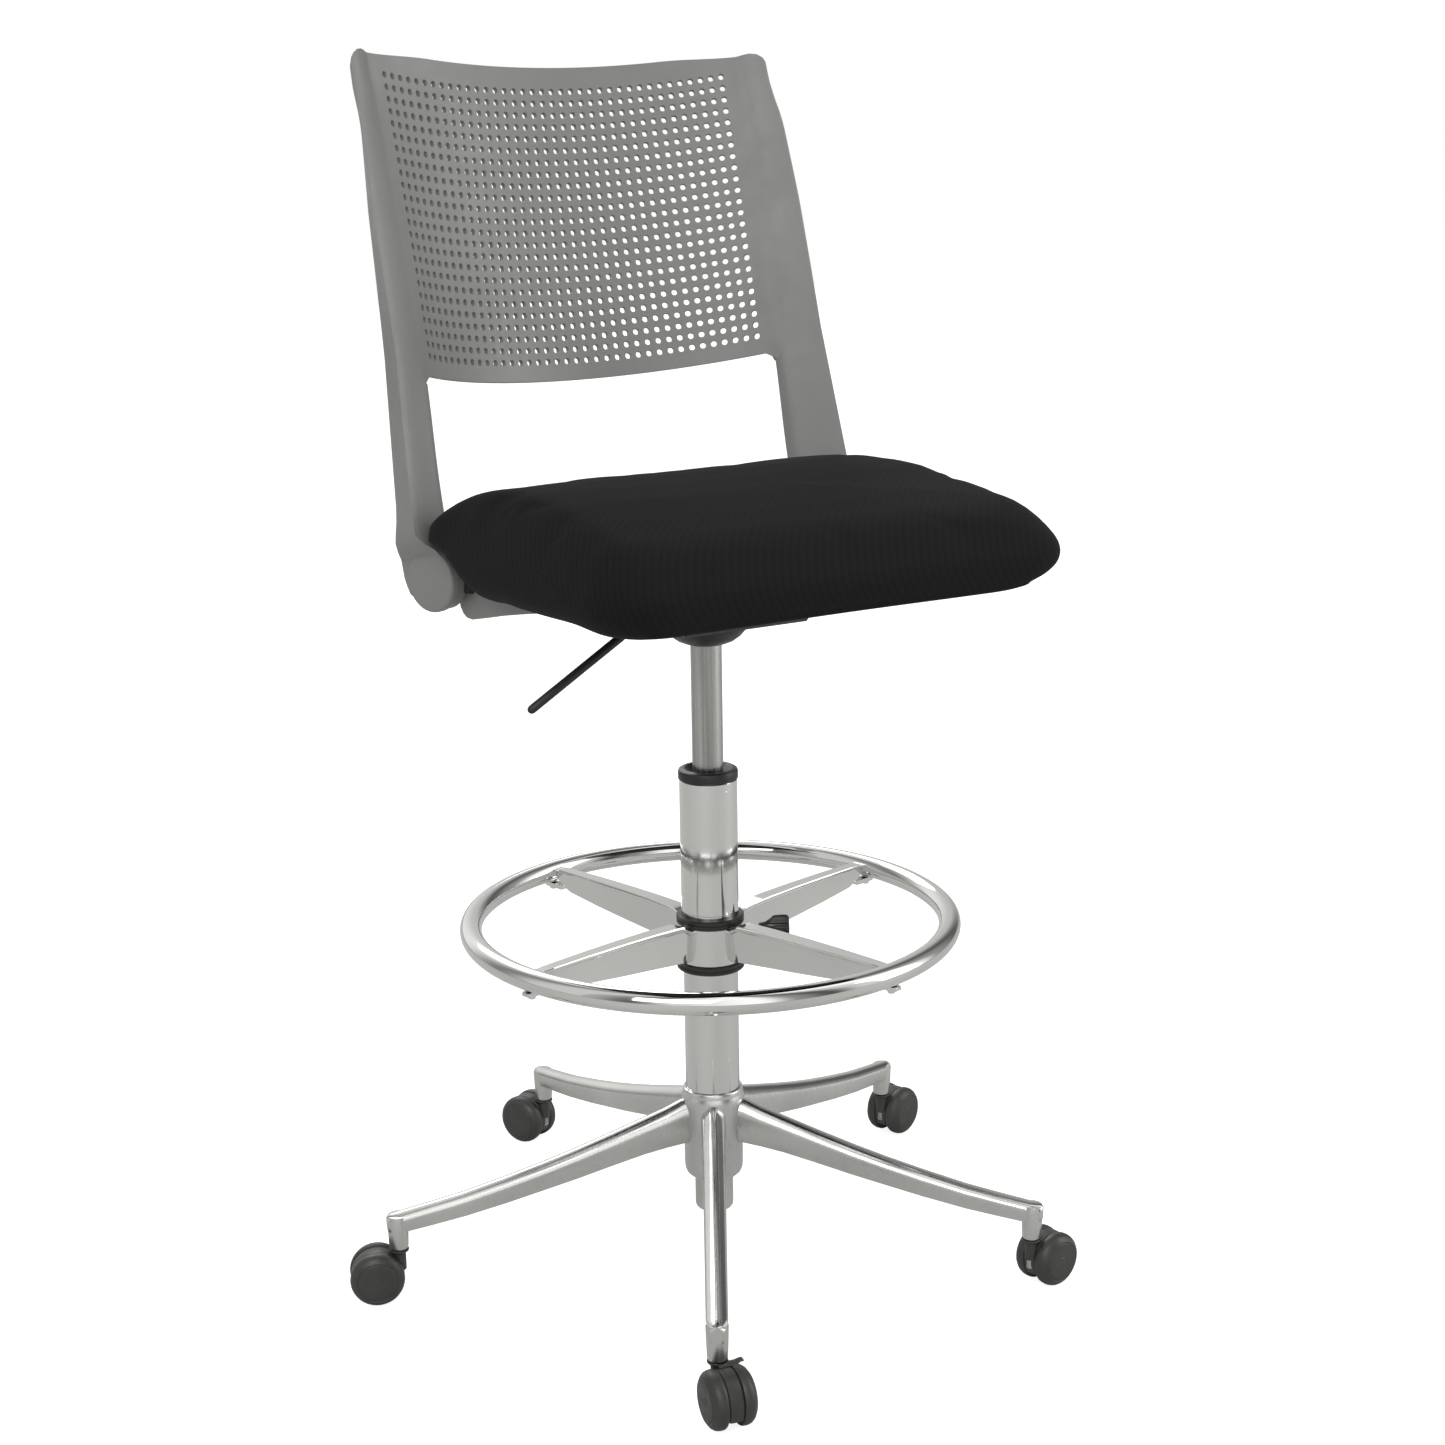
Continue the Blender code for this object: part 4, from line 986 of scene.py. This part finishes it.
def studio_world():
    """White to the camera; for the chair a grey room with tall bright windows and dark gaps between."""
    world = bpy.data.worlds.new("studio")
    world.use_nodes = True
    nodes, links = world.node_tree.nodes, world.node_tree.links
    white = nodes["Background"]
    white.inputs["Color"].default_value = (1.0, 1.0, 1.0, 1.0)
    white.inputs["Strength"].default_value = 1.0
    coords = nodes.new("ShaderNodeTexCoord")
    split = nodes.new("ShaderNodeSeparateXYZ")
    links.new(coords.outputs["Generated"], split.inputs["Vector"])
    angle = nodes.new("ShaderNodeMath")
    angle.operation = 'ARCTAN2'
    links.new(split.outputs["Y"], angle.inputs[0])
    links.new(split.outputs["X"], angle.inputs[1])
    share = nodes.new("ShaderNodeMapRange")
    for socket, value in (("From Min", -math.pi), ("From Max", math.pi), ("To Min", 0.0), ("To Max", 1.0)):
        share.inputs[socket].default_value = value
    links.new(angle.outputs[0], share.inputs["Value"])
    ramp_node = nodes.new("ShaderNodeValToRGB")
    ramp_node.color_ramp.interpolation = 'EASE'
    stops = ((0.0, 0.50), (0.06, 0.16), (0.12, 0.85), (0.22, 1.25), (0.27, 0.30), (0.31, 0.10), (0.36, 0.75),
             (0.44, 1.35), (0.50, 0.32), (0.56, 0.12), (0.64, 0.60), (0.76, 0.95), (0.86, 0.25), (0.94, 0.70))
    elements = ramp_node.color_ramp.elements
    while len(elements) > 1:
        elements.remove(elements[-1])
    elements[0].position, elements[0].color = stops[0][0], (stops[0][1],) * 3 + (1.0,)
    for place, level in stops[1:]:
        element = elements.new(place)
        element.color = (level, level, level * 0.985, 1.0)
    links.new(share.outputs["Result"], ramp_node.inputs["Fac"])
    room = nodes.new("ShaderNodeBackground")
    room.inputs["Strength"].default_value = 1.0
    links.new(ramp_node.outputs["Color"], room.inputs["Color"])
    out = light_split(nodes, links, white.outputs[0], room.outputs[0])
    links.new(out, nodes["World Output"].inputs["Surface"])
    return world


def floor_material():
    """Seamless white sweep; it shows grey in the chair's reflections."""
    look = Look("floor_paint", (0.55, 0.55, 0.545), 0.8)
    look.vary_color(look.noise(0.8, 2), 0.99, 1.01)
    glow = look.add("ShaderNodeEmission", Strength=0.85)
    both = look.nodes.new("ShaderNodeAddShader")
    look.links.new(look.shader.outputs[0], both.inputs[0])
    look.links.new(glow.outputs[0], both.inputs[1])
    out = light_split(look.nodes, look.links, both.outputs[0], look.shader.outputs[0])
    look.links.new(out, look.nodes["Material Output"].inputs["Surface"])
    return look.mat


def make_stage():
    scene = bpy.context.scene
    bm = bmesh.new()
    bmesh.ops.create_grid(bm, x_segments=1, y_segments=1, size=14000)
    floor = finish_mesh("studio_floor", bm, floor_material(), 0)
    floor.location.z = -0.0004

    scene.world = studio_world()
    area_light("key_light", (-2.6, -2.2, 3.0), (0, 0, 0.6), (2.4, 2.4), 55)
    area_light("fill_light", (2.8, -1.8, 1.6), (0, 0, 0.6), (1.6, 2.6), 26)
    area_light("rim_light", (0.6, 3.0, 2.6), (0, 0, 0.7), (2.4, 1.4), 34)
    scene.view_settings.view_transform = 'Standard'

    camera = bpy.data.cameras.new("camera")
    camera.sensor_width = 36.0
    camera.lens = 57.08
    camera.shift_x, camera.shift_y = 0.0106, 0.0033
    camera.clip_end = 50.0
    obj = bpy.data.objects.new("camera", camera)
    pitch, roll = math.radians(13.86), math.radians(-0.89)
    flat = Vector((0.5311, 0.8473, 0.0)).normalized()
    ahead = flat * math.cos(pitch) - Vector((0, 0, 1)) * math.sin(pitch)
    right = ahead.cross(Vector((0, 0, 1))).normalized()
    up = right.cross(ahead)
    x_axis = right * math.cos(roll) + up * math.sin(roll)
    y_axis = up * math.cos(roll) - right * math.sin(roll)
    basis = Matrix((x_axis, y_axis, -ahead)).transposed().to_4x4()
    obj.matrix_world = Matrix.Translation(at(-1056.0, -1684.6, 994.6)) @ basis
    scene.collection.objects.link(obj)
    scene.camera = obj


# ---- operators and panel -------------------------------------------------
class ChairPart:
    """Shared by the operators: settings and the material library."""
    bl_options = {'REGISTER', 'UNDO'}
    looks = {}
    frame = None

    def settings(self, context):
        return context.scene.drafting_chair

    def get_looks(self, context):
        if not ChairPart.looks:
            ChairPart.looks = build_looks(self.settings(context))
        return ChairPart.looks


class CHAIR_OT_base(ChairPart, bpy.types.Operator):
    """Build the star base and its five casters"""
    bl_idname = "chair.base"
    bl_label = "Base and Casters"

    def execute(self, context):
        looks = self.get_looks(context)
        make_star_base(looks)
        for index in range(5):
            make_caster(index, looks)
        return {'FINISHED'}


class CHAIR_OT_column(ChairPart, bpy.types.Operator):
    """Build the column, its collar and the gas cylinder"""
    bl_idname = "chair.column"
    bl_label = "Column"

    def execute(self, context):
        make_column(self.get_looks(context))
        return {'FINISHED'}


class CHAIR_OT_foot_ring(ChairPart, bpy.types.Operator):
    """Build the foot ring with its spokes, bushes and clamp knob"""
    bl_idname = "chair.foot_ring"
    bl_label = "Foot Ring"

    def execute(self, context):
        make_foot_ring(self.get_looks(context))
        return {'FINISHED'}


class CHAIR_OT_mechanism(ChairPart, bpy.types.Operator):
    """Build the mechanism cover, the height lever and the recline hinges"""
    bl_idname = "chair.mechanism"
    bl_label = "Mechanism and Hinges"

    def execute(self, context):
        looks = self.get_looks(context)
        make_mechanism(looks)
        make_hinges(looks)
        make_hinge_slot_shades(looks)
        return {'FINISHED'}


class CHAIR_OT_back(ChairPart, bpy.types.Operator):
    """Build the perforated back with its uprights"""
    bl_idname = "chair.back"
    bl_label = "Back"

    def execute(self, context):
        make_back(self.settings(context), self.get_looks(context))
        return {'FINISHED'}


class CHAIR_OT_cushion(ChairPart, bpy.types.Operator):
    """Build the upholstered seat cushion"""
    bl_idname = "chair.cushion"
    bl_label = "Cushion"

    def execute(self, context):
        make_cushion(self.settings(context), self.get_looks(context))
        return {'FINISHED'}


class CHAIR_OT_finishes(ChairPart, bpy.types.Operator):
    """Give the pieces that stay as they are their materials"""
    bl_idname = "chair.finishes"
    bl_label = "Finishes"

    def execute(self, context):
        paint_kept(ChairPart.frame["nodes"], self.get_looks(context))
        return {'FINISHED'}


class CHAIR_OT_stage(ChairPart, bpy.types.Operator):
    """Add the floor, lights and camera"""
    bl_idname = "chair.stage"
    bl_label = "Studio"

    def execute(self, context):
        make_stage()
        return {'FINISHED'}


class CHAIR_PT_panel(bpy.types.Panel):
    """Settings and build buttons"""
    bl_idname = "CHAIR_PT_panel"
    bl_label = "Drafting Chair"
    bl_space_type = 'VIEW_3D'
    bl_region_type = 'UI'
    bl_category = "Chair"

    def draw(self, context):
        layout = self.layout
        settings = context.scene.drafting_chair
        for name in ("hole_columns", "hole_rows", "hole_size", "panel_thickness", "cushion_swell", "weave_pitch"):
            layout.prop(settings, name)
        for operator in OPERATORS:
            layout.operator(operator.bl_idname)


OPERATORS = (CHAIR_OT_base, CHAIR_OT_column, CHAIR_OT_foot_ring, CHAIR_OT_mechanism, CHAIR_OT_back,
             CHAIR_OT_cushion, CHAIR_OT_finishes, CHAIR_OT_stage)
CLASSES = (ChairSettings, *OPERATORS, CHAIR_PT_panel)


def register():
    for cls in CLASSES:
        bpy.utils.register_class(cls)
    bpy.types.Scene.drafting_chair = PointerProperty(type=ChairSettings)


def unregister():
    del bpy.types.Scene.drafting_chair
    for cls in reversed(CLASSES):
        bpy.utils.unregister_class(cls)


def main():
    ChairPart.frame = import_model()
    register()
    bpy.ops.chair.base()
    bpy.ops.chair.column()
    bpy.ops.chair.foot_ring()
    bpy.ops.chair.mechanism()
    bpy.ops.chair.back()
    bpy.ops.chair.cushion()
    bpy.ops.chair.finishes()
    bpy.ops.chair.stage()
    bpy.context.view_layer.update()


if __name__ == "__main__":
    main()
